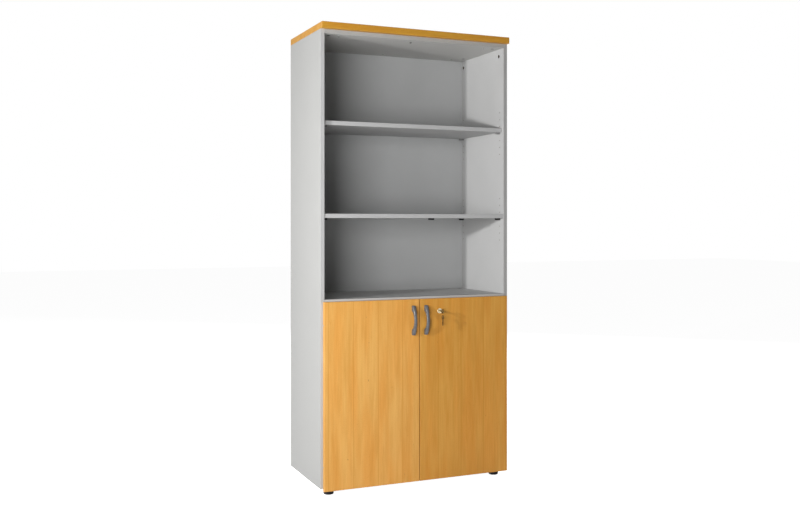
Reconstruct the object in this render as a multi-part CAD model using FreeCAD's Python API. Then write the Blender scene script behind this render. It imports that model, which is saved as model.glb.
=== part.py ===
"""Bookcase cupboard of melamine-faced chipboard: open shelves above, two hinged doors below.

Millimetres. X runs to the right as seen from the front, Y into the cupboard, Z up.
The pieces are laid out with Y = 0 on the front edges of the side panels. Each one is shifted
as it is saved, so that the origin lies on the floor under the middle of the whole object.
"""
import FreeCAD, Part
import math
import os

os.makedirs("parts", exist_ok=True)

V = FreeCAD.Vector
X_AXIS = V(1, 0, 0)
Y_AXIS = V(0, 1, 0)
Z_AXIS = V(0, 0, 1)
TOLERANCE = 0.01

# ---- Carcass: boards -------------------------------------------------------
overall_width = 900.0
overall_height = 2000.0
side_depth = 425.0
board = 18.0
board_edge_radius = 0.8

cover_thickness = 28.0
cover_overhang = 22.0
cover_edge_radius = 1.5

back_thickness = 8.0
back_rebate = 9.0
back_clearance = 0.5

deck_top = 830.0

# ---- Carcass: adjustable shelves and their supports ------------------------
shelf_tops = {"shelf_upper": 1588.0, "shelf_middle": 1193.0, "shelf_inner": 440.0}
shelf_setbacks = {"shelf_upper": 16.0, "shelf_middle": 3.0, "shelf_inner": 22.0}
shelf_end_clearance = 1.0
shelf_back_clearance = 1.5

support_row_front = 37.0   # rows are measured from the front edge or from the back panel
support_row_from_back = 17.0
support_pitch = 32.0
support_holes_each_way = 3
support_reach = 24.0
support_width = 13.0
support_height = 8.0
peg_radius = 2.5
peg_length = 8.0
peg_hole_depth = 10.0

clip_length = 25.0
clip_width = 12.0
clip_height = 8.0
clip_wall = 2.0
clip_place = 72.5
clip_setback = 6.0

# ---- Carcass: holes, fittings and fasteners --------------------------------
spare_hole_radius = 7.5
spare_hole_depth = 12.0
spare_hole_below_top = 50.0
spare_hole_row_front = 45.0
spare_hole_row_from_back = 17.0

cam_row_front = 46.0
cam_row_from_back = 82.0
bottom_cam_row_front = 120.0       # clear of the feet
bottom_cam_row_from_back = 117.0
cam_inset = 34.0
cam_radius = 7.5
cam_depth = 12.5
cam_slot = 1.6
bolt_thread_radius = 2.5
bolt_thread_length = 10.0
bolt_shaft_radius = 3.0
bolt_neck_radius = 1.8
bolt_head_radius = 3.6
bolt_head_length = 3.0
bolt_hole_radius = 4.0

dowel_row_front = 78.0
dowel_row_from_back = 50.0
dowel_radius = 4.0
dowel_in_side = 10.0
dowel_in_panel = 22.0

cover_screw_middle = -12.0
cover_screw_from_side = 82.0
cover_screw_row_front = 50.0
cover_screw_row_from_back = 47.0
cover_screw_length = 36.0
cover_screw_radius = 2.0
cover_screw_head_radius = 4.5
cover_screw_head_height = 3.0

back_screw_count = 5
back_screw_from_end = 60.0
back_screw_length = 28.0
back_screw_radius = 1.5
back_screw_head_radius = 3.2
back_screw_head_height = 2.0

fit = 0.05                 # radial clearance of a peg, dowel or screw in its own hole
cam_fit = 0.1

# ---- Levelling feet --------------------------------------------------------
foot_height = 34.0
foot_from_side = 50.0
rear_foot_from_side = 80.0
foot_from_edge = 40.0
foot_radius = 22.0
foot_pad_height = 26.0
foot_neck_radius = 12.0
foot_flange_radius = 17.0
foot_flange_gap = 0.3
foot_sleeve_radius = 8.0
foot_stem_radius = 5.0
foot_stem_start = 8.0
foot_stem_top_gap = 2.0
foot_key_radius = 2.5
foot_key_depth = 6.0

# ---- Doors -----------------------------------------------------------------
door_thickness = 18.0
door_reveal = 11.0         # side panel's front edge left bare beside each door
door_top_reveal = 9.0      # deck's front edge left bare above the doors
door_bottom = 25.0
door_meeting_gap = 3.0
door_buffer_gap = 2.0      # between the doors' backs and the carcass
door_edge_radius = 1.2

buffer_radius = 4.0
buffer_clearance = 0.3
buffer_from_edge = 12.0

# ---- Hinges: single-pivot cup hinges ---------------------------------------
hinge_from_door_end = 100.0
pivot_from_door_edge = 5.5
pivot_from_door_back = 9.0
hinge_pin_radius = 2.0
hinge_pin_half_length = 5.5
hinge_running_fit = 0.08
hinge_eye_radius = 3.6
cup_radius = 17.5
cup_from_door_edge = 2.0
cup_depth = 14.2
cup_clearance = 0.1
cup_pocket_start = 11.5
cup_pocket_margin = 3.5
cup_pocket_half_height = 11.0
cup_pocket_depth = 11.5
flange_thickness = 1.2
flange_half_height = 26.0
flange_start = 0.7         # from the pivot, towards the middle of the door
flange_width = 26.0
flange_corner_radius = 4.0
tongue_thickness = 3.0
tongue_slot_clearance = 0.3
tongue_width = 9.0
tongue_front = -1.0
plate_thickness = 2.5
plate_start = 6.0
plate_end = 56.0
plate_half_height = 26.0
plate_corner_radius = 3.0
plate_screw_place = 40.0
plate_screw_half_spacing = 16.0
plate_screw_length = 15.0
plate_screw_radius = 1.8
plate_screw_head_radius = 3.5
plate_screw_head_height = 2.0
cup_screw_half_spacing = 21.5
cup_screw_from_pivot = 13.0
cup_screw_length = 11.0
cup_screw_radius = 1.6
cup_screw_head_radius = 3.2
cup_screw_head_height = 1.8

# ---- Handles ---------------------------------------------------------------
handle_from_middle = 30.0
handle_below_door_top = 92.0
handle_length = 130.0
handle_hole_spacing = 96.0
handle_end_rise = 8.0
handle_rise = 30.0
handle_arch_thickness = 7.0
handle_arch_from_hole = 7.0
handle_pad_width = 17.0
handle_waist_width = 12.0
handle_pad_length = 22.0
handle_taper_length = 12.0
handle_corner_radius = 5.0
handle_edge_radius = 1.2
handle_screw_radius = 2.0
handle_screw_grip = 6.0
handle_screw_head_radius = 4.0
handle_screw_head_height = 2.4

# ---- Cam lock, keys and keeper ---------------------------------------------
lock_from_middle = 97.0
lock_below_door_top = 55.0
lock_housing_radius = 9.0
lock_rosette_radius = 11.0
lock_rosette_thickness = 2.0
lock_housing_behind = 4.2
lock_plug_radius = 6.0
lock_running_fit = 0.08
plug_recess = 0.4
plug_shoulder = 0.3
keyway_width = 2.4
keyway_height = 7.0
nut_across_flats = 24.0
nut_thickness = 3.0
cam_plate_thickness = 2.0
cam_plate_width = 12.0
cam_tip_clearance = 6.3
cam_square = 7.0
cam_square_fit = 0.1
cam_screw_length = 7.0
cam_screw_radius = 1.9
cam_screw_head_radius = 4.5
cam_screw_head_height = 2.0
key_thickness = 2.0
key_blade_height = 6.4
key_blade_in_plug = 16.0
key_shoulder_gap = 2.0
key_shank_height = 7.5
key_bow_from_door = 30.0
key_bow_radius = 10.0
key_bow_hole_radius = 4.0
key_bow_hole_offset = 2.5
ring_radius = 9.0
ring_wire_radius = 0.6
ring_clearance = 0.37
spare_key_length = 46.0

keeper_thickness = 1.7
keeper_width = 34.0
keeper_drop = 20.0
keeper_depth = 22.0
keeper_front_gap = 0.3
keeper_screw_half_spacing = 10.0
keeper_screw_place = 14.0
keeper_screw_length = 13.0
keeper_screw_radius = 1.6
keeper_screw_head_radius = 3.2
keeper_screw_head_height = 1.6

# ---- Slide bolt of the left door -------------------------------------------
bolt_from_middle = 62.0
bolt_rod_radius = 4.0
bolt_rod_behind_door = 9.0
bolt_rod_below_keeper = 3.5
bolt_travel = 14.0
bolt_stop_clearance = 2.0
bolt_running_fit = 0.1
bolt_housing_height = 42.0
bolt_housing_width = 26.0
bolt_housing_depth = 15.0
bolt_housing_below_rod_top = 5.0
bolt_housing_edge_radius = 2.0
bolt_knob_radius = 6.0
bolt_knob_height = 8.0
bolt_screw_half_spacing = 14.0
bolt_screw_from_side = 4.0
bolt_screw_length = 26.0
bolt_screw_radius = 1.5
bolt_screw_head_radius = 2.6
bolt_screw_head_height = 1.6

# ---- Planes and levels that follow from the sizes above --------------------
half_width = overall_width / 2
inner_face = half_width - board
side_bottom = foot_height
side_top = overall_height - cover_thickness
panel_depth = side_depth - back_thickness
spare_hole_height = side_top - spare_hole_below_top
deck_bottom = deck_top - board
door_back = -door_buffer_gap
door_front = door_back - door_thickness
door_top = deck_top - door_top_reveal
door_outer_edge = half_width - door_reveal
door_inner_edge = door_meeting_gap / 2
handle_middle_height = door_top - handle_below_door_top
lock_height = door_top - lock_below_door_top
cam_plate_reach = deck_bottom - keeper_thickness - cam_tip_clearance - lock_height
pivot_x = door_outer_edge - pivot_from_door_edge
pivot_y = door_back - pivot_from_door_back
key_bow_y = door_front - key_bow_from_door
front_reach = -key_bow_y + key_bow_hole_offset + key_bow_radius     # the spare key's bow
depth_middle = (side_depth - front_reach) / 2


# ---- Ways to make, place and save shapes -----------------------------------
def block(x, y, z):
    """A box between two limits on each axis."""
    return Part.makeBox(x[1] - x[0], y[1] - y[0], z[1] - z[0], V(x[0], y[0], z[0]))


def rod(radius, start, direction, length):
    """A round bar that starts at a point and runs along a direction."""
    return Part.makeCylinder(radius, length, start, direction)


def edges_in_plane(shape, axis, place, run=None):
    """The edges that lie in a plane across an axis, or only those that run along another axis."""
    chosen = []
    for edge in shape.Edges:
        box = edge.BoundBox
        lies_low = abs(getattr(box, axis + "Min") - place) < TOLERANCE
        lies_high = abs(getattr(box, axis + "Max") - place) < TOLERANCE
        runs = run is None or getattr(box, run + "Length") > TOLERANCE
        if lies_low and lies_high and runs:
            chosen.append(edge)
    return chosen


def edges_along(shape, run):
    """The straight edges that run along an axis."""
    others = [axis for axis in "XYZ" if axis != run]
    chosen = []
    for edge in shape.Edges:
        box = edge.BoundBox
        if all(getattr(box, other + "Length") < TOLERANCE for other in others):
            chosen.append(edge)
    return chosen


def placed(shape, point, direction):
    """A copy of a shape made at the origin along +Z, moved to a point and turned to a direction."""
    moved = shape.copy()
    moved.Placement = FreeCAD.Placement(point, FreeCAD.Rotation(Z_AXIS, direction))
    return moved


def mirrored(shape):
    """The same shape on the other side of the cupboard's middle."""
    return shape.mirror(V(0, 0, 0), X_AXIS)


def both_sides(shapes):
    """Shapes on the left together with their mirror images on the right."""
    return list(shapes) + [mirrored(shape) for shape in shapes]


def rows(front, from_back):
    """Distances of two rows of fittings from the front edge."""
    return (front, panel_depth - from_back)


def save(node, solids):
    """Write one node's solids, measured from the origin under the middle of the object."""
    shape = solids[0] if len(solids) == 1 else Part.makeCompound(solids)
    shifted = shape.copy()
    shifted.translate(V(0, -depth_middle, 0))
    shifted.exportStep("parts/" + node + ".step")


# ---- Screws ----------------------------------------------------------------
def cross_recess(radius, depth):
    """The driver recess of a screw head, sunk along +Z from the origin."""
    arm = radius * 0.28
    reach = radius * 1.15
    first = block((-reach / 2, reach / 2), (-arm / 2, arm / 2), (-1, depth))
    second = block((-arm / 2, arm / 2), (-reach / 2, reach / 2), (-1, depth))
    return first.fuse(second)


def pan_screw(length, radius, head_radius, head_height):
    """A pan-head screw along +Z, with the underside of its head at the origin."""
    head = Part.makeCylinder(head_radius, head_height, V(0, 0, -head_height))
    head = head.makeFillet(head_height * 0.45, edges_in_plane(head, "Z", -head_height))
    shank = Part.makeCylinder(radius, length - radius)
    tip = Part.makeCone(radius, radius * 0.2, radius, V(0, 0, length - radius))
    recess = cross_recess(head_radius, head_height * 0.6)
    recess.translate(V(0, 0, -head_height))
    return head.fuse([shank, tip]).cut(recess).removeSplitter()


def flush_screw(length, radius, head_radius, head_height):
    """A countersunk screw along +Z, with the face of its head at the origin."""
    head = Part.makeCone(head_radius, radius, head_height)
    shank = Part.makeCylinder(radius, length - radius)
    tip = Part.makeCone(radius, radius * 0.2, radius, V(0, 0, length - radius))
    return head.fuse([shank, tip]).cut(cross_recess(head_radius, head_height * 0.6)).removeSplitter()


def screw_hole(length, radius):
    """The hole that a screw's shank leaves in board, along +Z from just outside the face."""
    return Part.makeCylinder(radius + fit, length + 1, V(0, 0, -1))


def flush_hole(length, radius, head_radius, head_height):
    """The hole and countersink for a flush screw, along +Z from the face."""
    sink = Part.makeCone(head_radius + fit, radius + fit, head_height)
    return sink.fuse(screw_hole(length, radius))


# ---- Shelves' supports -----------------------------------------------------
def support_height_of(shelf):
    """Middle of the support pegs under a shelf."""
    return shelf_tops[shelf] - board - support_height / 2


def support_rows():
    return rows(support_row_front, support_row_from_back)


def shelf_support(y, z):
    """Black plastic support on the left side: a peg in the side and a rest under the shelf."""
    peg = rod(peg_radius, V(-inner_face - peg_length, y, z), X_AXIS, peg_length + 1)
    low_y = y - support_width / 2
    low_z = z - support_height / 2
    rest = block((-inner_face, -inner_face + support_reach), (low_y, low_y + support_width),
                 (low_z, low_z + support_height))
    ends = edges_in_plane(rest, "X", -inner_face + support_reach, "Z")
    rest = rest.makeFillet(support_width * 0.35, ends)
    return rest.fuse(peg).removeSplitter()


def support_hole_cutters():
    """The rows of peg holes in the left side, a group round each shelf."""
    cutters = []
    for shelf in shelf_tops:
        for step in range(-support_holes_each_way, support_holes_each_way + 1):
            z = support_height_of(shelf) + step * support_pitch
            for y in support_rows():
                start = V(-inner_face + 1, y, z)
                cutters.append(rod(peg_radius + fit, start, -X_AXIS, peg_hole_depth + 1))
    return cutters


def shelf_clip():
    """Small plastic clip under the front of the middle shelf, an upside-down channel."""
    top = shelf_tops["shelf_middle"] - board
    front = shelf_setbacks["shelf_middle"] + clip_setback
    x = (clip_place - clip_length / 2, clip_place + clip_length / 2)
    body = block(x, (front, front + clip_width), (top - clip_height, top))
    body = body.makeFillet(1.5, edges_along(body, "Z"))
    inside = (front + clip_wall, front + clip_width - clip_wall)
    channel = block((x[0] - 1, x[1] + 1), inside, (top - clip_height - 1, top - clip_wall))
    return body.cut(channel)


# ---- Dowels, cam bolts and cams --------------------------------------------
def fixed_panel_levels():
    """Undersides of the three panels that are fixed between the sides."""
    return (side_bottom, deck_bottom, side_top - board)


def cam_rows_at(low):
    """The rows of a panel's cams; the lowest panel's stay clear of the feet."""
    if low == side_bottom:
        return rows(bottom_cam_row_front, bottom_cam_row_from_back)
    return rows(cam_row_front, cam_row_from_back)


def dowel_rows():
    return rows(dowel_row_front, dowel_row_from_back)


def dowel(y, z):
    """Wooden dowel across the joint of a panel with the left side."""
    length = dowel_in_side + dowel_in_panel
    pin = rod(dowel_radius, V(-inner_face - dowel_in_side, y, z), X_AXIS, length)
    ends = edges_in_plane(pin, "X", -inner_face - dowel_in_side)
    ends += edges_in_plane(pin, "X", -inner_face + dowel_in_panel)
    return pin.makeChamfer(0.8, ends)


def dowel_hole(y, z, start, length):
    return rod(dowel_radius + fit, V(start, y, z), X_AXIS, length)


def cam_bolt(y, z):
    """Steel bolt that is screwed into the left side and drawn in by the cam."""
    reach = cam_inset + bolt_head_length / 2
    neck_start = reach - 2 * bolt_head_length
    head_start = reach - bolt_head_length
    face = -inner_face
    thread = rod(bolt_thread_radius, V(face - bolt_thread_length, y, z), X_AXIS, bolt_thread_length)
    shaft = rod(bolt_shaft_radius, V(face, y, z), X_AXIS, neck_start)
    neck = rod(bolt_neck_radius, V(face + neck_start, y, z), X_AXIS, bolt_head_length)
    head = rod(bolt_head_radius, V(face + head_start, y, z), X_AXIS, bolt_head_length)
    return thread.fuse([shaft, neck, head]).removeSplitter()


def cam_bolt_channel(y, z):
    """Clearance bore for the cam bolt, from the panel's end to past the cam's middle."""
    length = cam_inset + bolt_head_length + 1
    return rod(bolt_hole_radius, V(-inner_face - 1, y, z), X_AXIS, length + 1)


def cam_housing(y, low):
    """Zinc cam set into a panel's underside, with a driver recess in its face."""
    middle = V(-inner_face + cam_inset, y, low)
    body = rod(cam_radius, middle, Z_AXIS, cam_depth)
    recess = cross_recess(cam_radius, cam_slot)
    recess.translate(middle)
    channel = cam_bolt_channel(y, low + board / 2)
    return body.cut([recess, channel])


def cam_hole(y, low):
    return rod(cam_radius + cam_fit, V(-inner_face + cam_inset, y, low - 1), Z_AXIS, cam_depth + cam_fit + 1)


def fixed_panel(low):
    """Board between the sides, with its front edges eased and its fittings bored at both ends."""
    panel = block((-inner_face, inner_face), (0, panel_depth), (low, low + board))
    panel = panel.makeFillet(board_edge_radius, edges_in_plane(panel, "Y", 0, "X"))
    middle = low + board / 2
    cutters = [cam_bolt_channel(y, middle) for y in cam_rows_at(low)]
    cutters += [cam_hole(y, low) for y in cam_rows_at(low)]
    cutters += [dowel_hole(y, middle, -inner_face - 1, dowel_in_panel + 1 + fit) for y in dowel_rows()]
    holes = [back_screw_hole(point) for point in back_screw_points() if low < point.z < low + board]
    return panel.cut(both_sides(cutters) + holes)


# ---- Sides, cover and back -------------------------------------------------
def side_panel():
    """Left side panel with its rebate for the back and all its holes."""
    panel = block((-half_width, -inner_face), (0, side_depth), (side_bottom, side_top))
    panel = panel.makeFillet(board_edge_radius, edges_in_plane(panel, "Y", 0, "Z"))
    rebate = block((-inner_face - back_rebate, -inner_face + 1), (panel_depth, side_depth + 1),
                   (side_bottom - 1, side_top + 1))
    cutters = [rebate] + support_hole_cutters()
    for low in fixed_panel_levels():
        middle = low + board / 2
        for y in cam_rows_at(low):
            start = V(-inner_face + 1, y, middle)
            cutters.append(rod(bolt_thread_radius + fit, start, -X_AXIS, bolt_thread_length + fit + 1))
        for y in dowel_rows():
            length = dowel_in_side + fit
            cutters.append(dowel_hole(y, middle, -inner_face - length, length + 1))
    for y in rows(spare_hole_row_front, spare_hole_row_from_back):
        start = V(-inner_face + 1, y, spare_hole_height)
        cutters.append(rod(spare_hole_radius, start, -X_AXIS, spare_hole_depth + 1))
    for point in plate_screw_points():
        hole = screw_hole(plate_screw_length - plate_thickness, plate_screw_radius)
        cutters.append(placed(hole, V(-inner_face, point.y, point.z), -X_AXIS))
    return panel.cut(cutters)


def cover_screw_points():
    """Where the cover's screws pass up through the carcass top."""
    level = side_top - board
    outer = inner_face - cover_screw_from_side
    columns = (-outer, cover_screw_middle, outer)
    return [V(x, y, level) for x in columns for y in rows(cover_screw_row_front, cover_screw_row_from_back)]


def top_cover():
    """Thick beech-faced cover, eased all round, with pilot holes for its screws."""
    cover = block((-half_width, half_width), (-cover_overhang, side_depth), (side_top, overall_height))
    eased = edges_in_plane(cover, "Y", -cover_overhang) + edges_in_plane(cover, "Z", overall_height)
    unique = []
    for edge in eased:
        if not any(edge.isSame(other) for other in unique):
            unique.append(edge)
    cover = cover.makeFillet(cover_edge_radius, unique)
    holes = [placed(screw_hole(cover_screw_length, cover_screw_radius), point, Z_AXIS)
             for point in cover_screw_points()]
    return cover.cut(holes)


def carcass_top():
    """The fixed panel under the cover, bored for the cover's screws."""
    holes = [placed(screw_hole(cover_screw_length, cover_screw_radius), point, Z_AXIS)
             for point in cover_screw_points()]
    return fixed_panel(side_top - board).cut(holes)


def back_screw_points():
    """Where screws pass through the back panel into the rear edges of the fixed panels."""
    step = 2 * (inner_face - back_screw_from_end) / (back_screw_count - 1)
    places = [-inner_face + back_screw_from_end + step * index for index in range(back_screw_count)]
    return [V(x, side_depth, low + board / 2) for low in fixed_panel_levels() for x in places]


def back_screw_hole(point):
    hole = flush_hole(back_screw_length, back_screw_radius, back_screw_head_radius, back_screw_head_height)
    return placed(hole, point, -Y_AXIS)


def back_panel():
    """Back panel, let into the sides' rebates and screwed to the fixed panels."""
    half = inner_face + back_rebate - back_clearance
    panel = block((-half, half), (panel_depth, side_depth), (side_bottom, side_top))
    return panel.cut([back_screw_hole(point) for point in back_screw_points()])


def adjustable_shelf(name):
    """Loose shelf that rests on four supports, with its front edges eased."""
    half = inner_face - shelf_end_clearance
    rear = panel_depth - shelf_back_clearance
    top = shelf_tops[name]
    front = shelf_setbacks[name]
    shelf = block((-half, half), (front, rear), (top - board, top))
    return shelf.makeFillet(board_edge_radius, edges_in_plane(shelf, "Y", front, "X"))


# ---- Feet ------------------------------------------------------------------
def foot_points():
    """The feet's places on the floor, by name."""
    front_x = half_width - foot_from_side
    rear_x = half_width - rear_foot_from_side
    rear_y = side_depth - foot_from_edge
    return {
        "foot_front_left": V(-front_x, foot_from_edge, 0),
        "foot_front_right": V(front_x, foot_from_edge, 0),
        "foot_rear_left": V(-rear_x, rear_y, 0),
        "foot_rear_right": V(rear_x, rear_y, 0),
    }


def foot_pad(point):
    """Black plastic foot, turned, with a bore for its stem."""
    top = foot_pad_height
    outline = [V(0, 0, 0), V(foot_radius - 3, 0, 0), V(foot_radius - 0.8, 0, 1.2), V(foot_radius, 0, 3.5),
               V(foot_radius, 0, top - 10), V(foot_radius - 1.5, 0, top - 7),
               V(foot_neck_radius + 2, 0, top - 4), V(foot_neck_radius, 0, top - 2),
               V(foot_neck_radius, 0, top), V(0, 0, top), V(0, 0, 0)]
    body = Part.Face(Part.makePolygon(outline)).revolve(V(0, 0, 0), Z_AXIS, 360)
    bore = rod(foot_stem_radius + fit, V(0, 0, foot_stem_start - fit), Z_AXIS, foot_pad_height)
    body = body.cut(bore)
    body.translate(point)
    return body


def foot_stem(point):
    """Threaded stem, held in the foot and turned with a key from inside the cupboard."""
    top = side_bottom + board - foot_stem_top_gap
    stem = rod(foot_stem_radius, V(0, 0, foot_stem_start), Z_AXIS, top - foot_stem_start)
    stem = stem.makeChamfer(0.8, edges_in_plane(stem, "Z", top))
    key = Part.makePolygon([V(foot_key_radius * math.cos(math.radians(60 * k)),
                              foot_key_radius * math.sin(math.radians(60 * k)),
                              top - foot_key_depth) for k in range(7)])
    stem = stem.cut(Part.Face(key).extrude(V(0, 0, foot_key_depth + 1)))
    stem.translate(point)
    return stem


def foot_sleeve(point):
    """Flanged threaded sleeve, pressed into the carcass bottom from below."""
    low = foot_pad_height + foot_flange_gap
    flange = rod(foot_flange_radius, V(0, 0, low), Z_AXIS, side_bottom - low)
    flange = flange.makeFillet(1.5, edges_in_plane(flange, "Z", low))
    barrel = rod(foot_sleeve_radius, V(0, 0, side_bottom - 1), Z_AXIS, board + 1)
    bore = rod(foot_stem_radius + fit, V(0, 0, 0), Z_AXIS, overall_height)
    sleeve = flange.fuse(barrel).removeSplitter().cut(bore)
    sleeve.translate(point)
    return sleeve


def carcass_bottom():
    """The lowest fixed panel, bored for the foot sleeves."""
    holes = [rod(foot_sleeve_radius + fit, point, Z_AXIS, side_bottom + board + 1)
             for point in foot_points().values()]
    return fixed_panel(side_bottom).cut(holes)


# ---- Hinges (left door; the right ones are mirror images) ------------------
def hinge_levels():
    """Middles of the two hinges of a door."""
    return {"top": door_top - hinge_from_door_end, "bottom": door_bottom + hinge_from_door_end}


def hinge_point(z):
    """The hinge pin's middle."""
    return V(-pivot_x, pivot_y, z)


def plate_screw_points():
    """Where the hinge plates are screwed to the left side."""
    face = -inner_face + plate_thickness
    return [V(face, plate_screw_place, z + sign * plate_screw_half_spacing)
            for z in hinge_levels().values() for sign in (-1, 1)]


def hinge_arm(z):
    """Steel arm: a plate on the side panel and a tongue that reaches to the pin in the door."""
    pin = hinge_point(z)
    face = -inner_face
    outer = face + tongue_width
    outline = [V(pin.x - hinge_eye_radius, pin.y, 0), V(face, tongue_front, 0), V(face, plate_end - 6, 0),
               V(face + plate_thickness, plate_end - 6, 0), V(outer, plate_end - 22, 0),
               V(outer, tongue_front, 0), V(pin.x + hinge_eye_radius, pin.y, 0),
               V(pin.x - hinge_eye_radius, pin.y, 0)]
    tongue = Part.Face(Part.makePolygon(outline)).extrude(V(0, 0, tongue_thickness))
    eye = rod(hinge_eye_radius, V(pin.x, pin.y, 0), Z_AXIS, tongue_thickness)
    tongue = tongue.fuse(eye)
    tongue.translate(V(0, 0, z - tongue_thickness / 2))
    plate = block((face, face + plate_thickness), (plate_start, plate_end),
                  (z - plate_half_height, z + plate_half_height))
    plate = plate.makeFillet(plate_corner_radius, edges_along(plate, "X"))
    bore = rod(hinge_pin_radius + hinge_running_fit, V(pin.x, pin.y, z - tongue_thickness), Z_AXIS,
               2 * tongue_thickness)
    arm = tongue.fuse(plate).cut(bore)
    hole = flush_hole(plate_screw_length, plate_screw_radius, plate_screw_head_radius,
                      plate_screw_head_height)
    for point in plate_screw_points():
        if abs(point.z - z) < plate_half_height:
            arm = arm.cut(placed(hole, point, -X_AXIS))
    return arm.removeSplitter()


def tongue_slot(z):
    """Room in the door and the cup for the tongue at every opening angle."""
    pin = hinge_point(z)
    half = tongue_thickness / 2 + tongue_slot_clearance
    floor = pin.y - hinge_eye_radius - tongue_slot_clearance
    end = -inner_face + tongue_width + 2 * tongue_slot_clearance
    return block((-door_outer_edge - 1, end), (floor, 1), (z - half, z + half))


def cup_middle(z):
    return V(-door_outer_edge + cup_from_door_edge + cup_radius, door_back, z)


def cup_screw_points(z):
    """Where a cup is screwed to the door's back."""
    x = -pivot_x + cup_screw_from_pivot
    y = door_back + flange_thickness
    return [V(x, y, z + sign * cup_screw_half_spacing) for sign in (-1, 1)]


def cup_screw_holes(z):
    """The cup screws' holes, through the flange and into the door."""
    hole = flush_hole(cup_screw_length, cup_screw_radius, cup_screw_head_radius, cup_screw_head_height)
    return [placed(hole, point, -Y_AXIS) for point in cup_screw_points(z)]


def hinge_cup(z):
    """Zinc cup let into the door, with a flange and a knuckle for the pin."""
    pin = hinge_point(z)
    cup = rod(cup_radius, cup_middle(z), -Y_AXIS, cup_depth)
    flange_x = (pin.x + flange_start, pin.x + flange_start + flange_width)
    flange = block(flange_x, (door_back, door_back + flange_thickness),
                   (z - flange_half_height, z + flange_half_height))
    flange = flange.makeFillet(flange_corner_radius, edges_along(flange, "Y"))
    pocket_x = (-door_outer_edge + cup_pocket_start,
                -door_outer_edge + cup_from_door_edge + 2 * cup_radius - cup_pocket_margin)
    pocket = block(pocket_x, (door_back - cup_pocket_depth, 1),
                   (z - cup_pocket_half_height, z + cup_pocket_half_height))
    pocket = pocket.makeFillet(3, edges_along(pocket, "Y"))
    bore = rod(hinge_pin_radius + fit / 2, V(pin.x, pin.y, z - hinge_pin_half_length), Z_AXIS,
               2 * hinge_pin_half_length)
    return cup.fuse(flange).cut([pocket, tongue_slot(z), bore] + cup_screw_holes(z)).removeSplitter()


def hinge_pin(z):
    pin = hinge_point(z)
    low = z - hinge_pin_half_length
    high = z + hinge_pin_half_length
    bar = rod(hinge_pin_radius, V(pin.x, pin.y, low), Z_AXIS, high - low)
    return bar.makeChamfer(0.4, edges_in_plane(bar, "Z", low) + edges_in_plane(bar, "Z", high))


# ---- Handles ---------------------------------------------------------------
def handle(x):
    """Cast bow handle: an arched strap between two wider feet."""
    half = handle_length / 2
    door = door_front
    ends = [V(0, door, -half), V(0, door - handle_end_rise, -half), V(0, door - handle_rise, 0),
            V(0, door - handle_end_rise, half), V(0, door, half)]
    inner = handle_rise - handle_arch_thickness
    outer_arc = Part.Arc(ends[1], ends[2], ends[3]).toShape()
    arch_half_span = handle_hole_spacing / 2 - handle_arch_from_hole
    arch_low = V(0, door, -arch_half_span)
    arch_high = V(0, door, arch_half_span)
    inner_arc = Part.Arc(arch_high, V(0, door - inner, 0), arch_low).toShape()
    side = Part.Wire([Part.makeLine(ends[0], ends[1]), outer_arc, Part.makeLine(ends[3], ends[4]),
                      Part.makeLine(ends[4], arch_high), inner_arc, Part.makeLine(arch_low, ends[0])])
    strap = Part.Face(side).extrude(V(handle_pad_width, 0, 0))
    strap.translate(V(-handle_pad_width / 2, 0, 0))
    pad = handle_pad_width / 2
    waist = handle_waist_width / 2
    pad_end = half - handle_pad_length
    waist_end = pad_end - handle_taper_length
    profile = [(pad, -half), (pad, -pad_end), (waist, -waist_end), (waist, waist_end), (pad, pad_end),
               (pad, half), (-pad, half), (-pad, pad_end), (-waist, waist_end), (-waist, -waist_end),
               (-pad, -pad_end), (-pad, -half), (pad, -half)]
    front = Part.Face(Part.makePolygon([V(px, door + 1, pz) for px, pz in profile]))
    plan = front.extrude(V(0, -handle_rise - 2, 0))
    corners = [edge for edge in edges_along(plan, "Y") if abs(abs(edge.BoundBox.Center.z) - half) < 1]
    plan = plan.makeFillet(handle_corner_radius, corners)
    bends = [edge for edge in edges_along(plan, "Y") if abs(edge.BoundBox.Center.z) < pad_end + 1]
    plan = plan.makeFillet(handle_corner_radius, bends)
    body = strap.common(plan)
    eased = [edge for edge in body.Edges if edge.BoundBox.YMin < door - handle_end_rise + 1
             and edge.BoundBox.YMax < door - 1]
    body = body.makeFillet(handle_edge_radius, eased)
    body.translate(V(x, 0, handle_middle_height))
    holes = [placed(screw_hole(handle_screw_grip, handle_screw_radius), point, -Y_AXIS)
             for point in handle_screw_points(x, door_front)]
    return body.cut(holes)


def handle_screw_points(x, y):
    """The two screw places of a handle, on the plane that is asked for."""
    half = handle_hole_spacing / 2
    return [V(x, y, handle_middle_height + sign * half) for sign in (-1, 1)]


def handle_screws(x):
    """Screws from the door's back into the handle's feet."""
    length = door_thickness + handle_screw_grip
    screw = pan_screw(length, handle_screw_radius, handle_screw_head_radius, handle_screw_head_height)
    return [placed(screw, point, -Y_AXIS) for point in handle_screw_points(x, door_back)]


# ---- Doors -----------------------------------------------------------------
def door_board():
    """Left door leaf, eased on its front, bored for the hinge cups and the handle's screws."""
    leaf = block((-door_outer_edge, -door_inner_edge), (door_front, door_back), (door_bottom, door_top))
    leaf = leaf.makeFillet(door_edge_radius, edges_in_plane(leaf, "Y", door_front))
    cutters = []
    for z in hinge_levels().values():
        cutters.append(rod(cup_radius + cup_clearance, cup_middle(z) + V(0, 1, 0), -Y_AXIS,
                           cup_depth + cup_clearance + 1))
        cutters.append(tongue_slot(z))
        cutters += cup_screw_holes(z)
    for point in handle_screw_points(-handle_from_middle, door_back):
        cutters.append(placed(screw_hole(door_thickness + 1, handle_screw_radius), point, -Y_AXIS))
    return leaf.cut(cutters)


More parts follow.
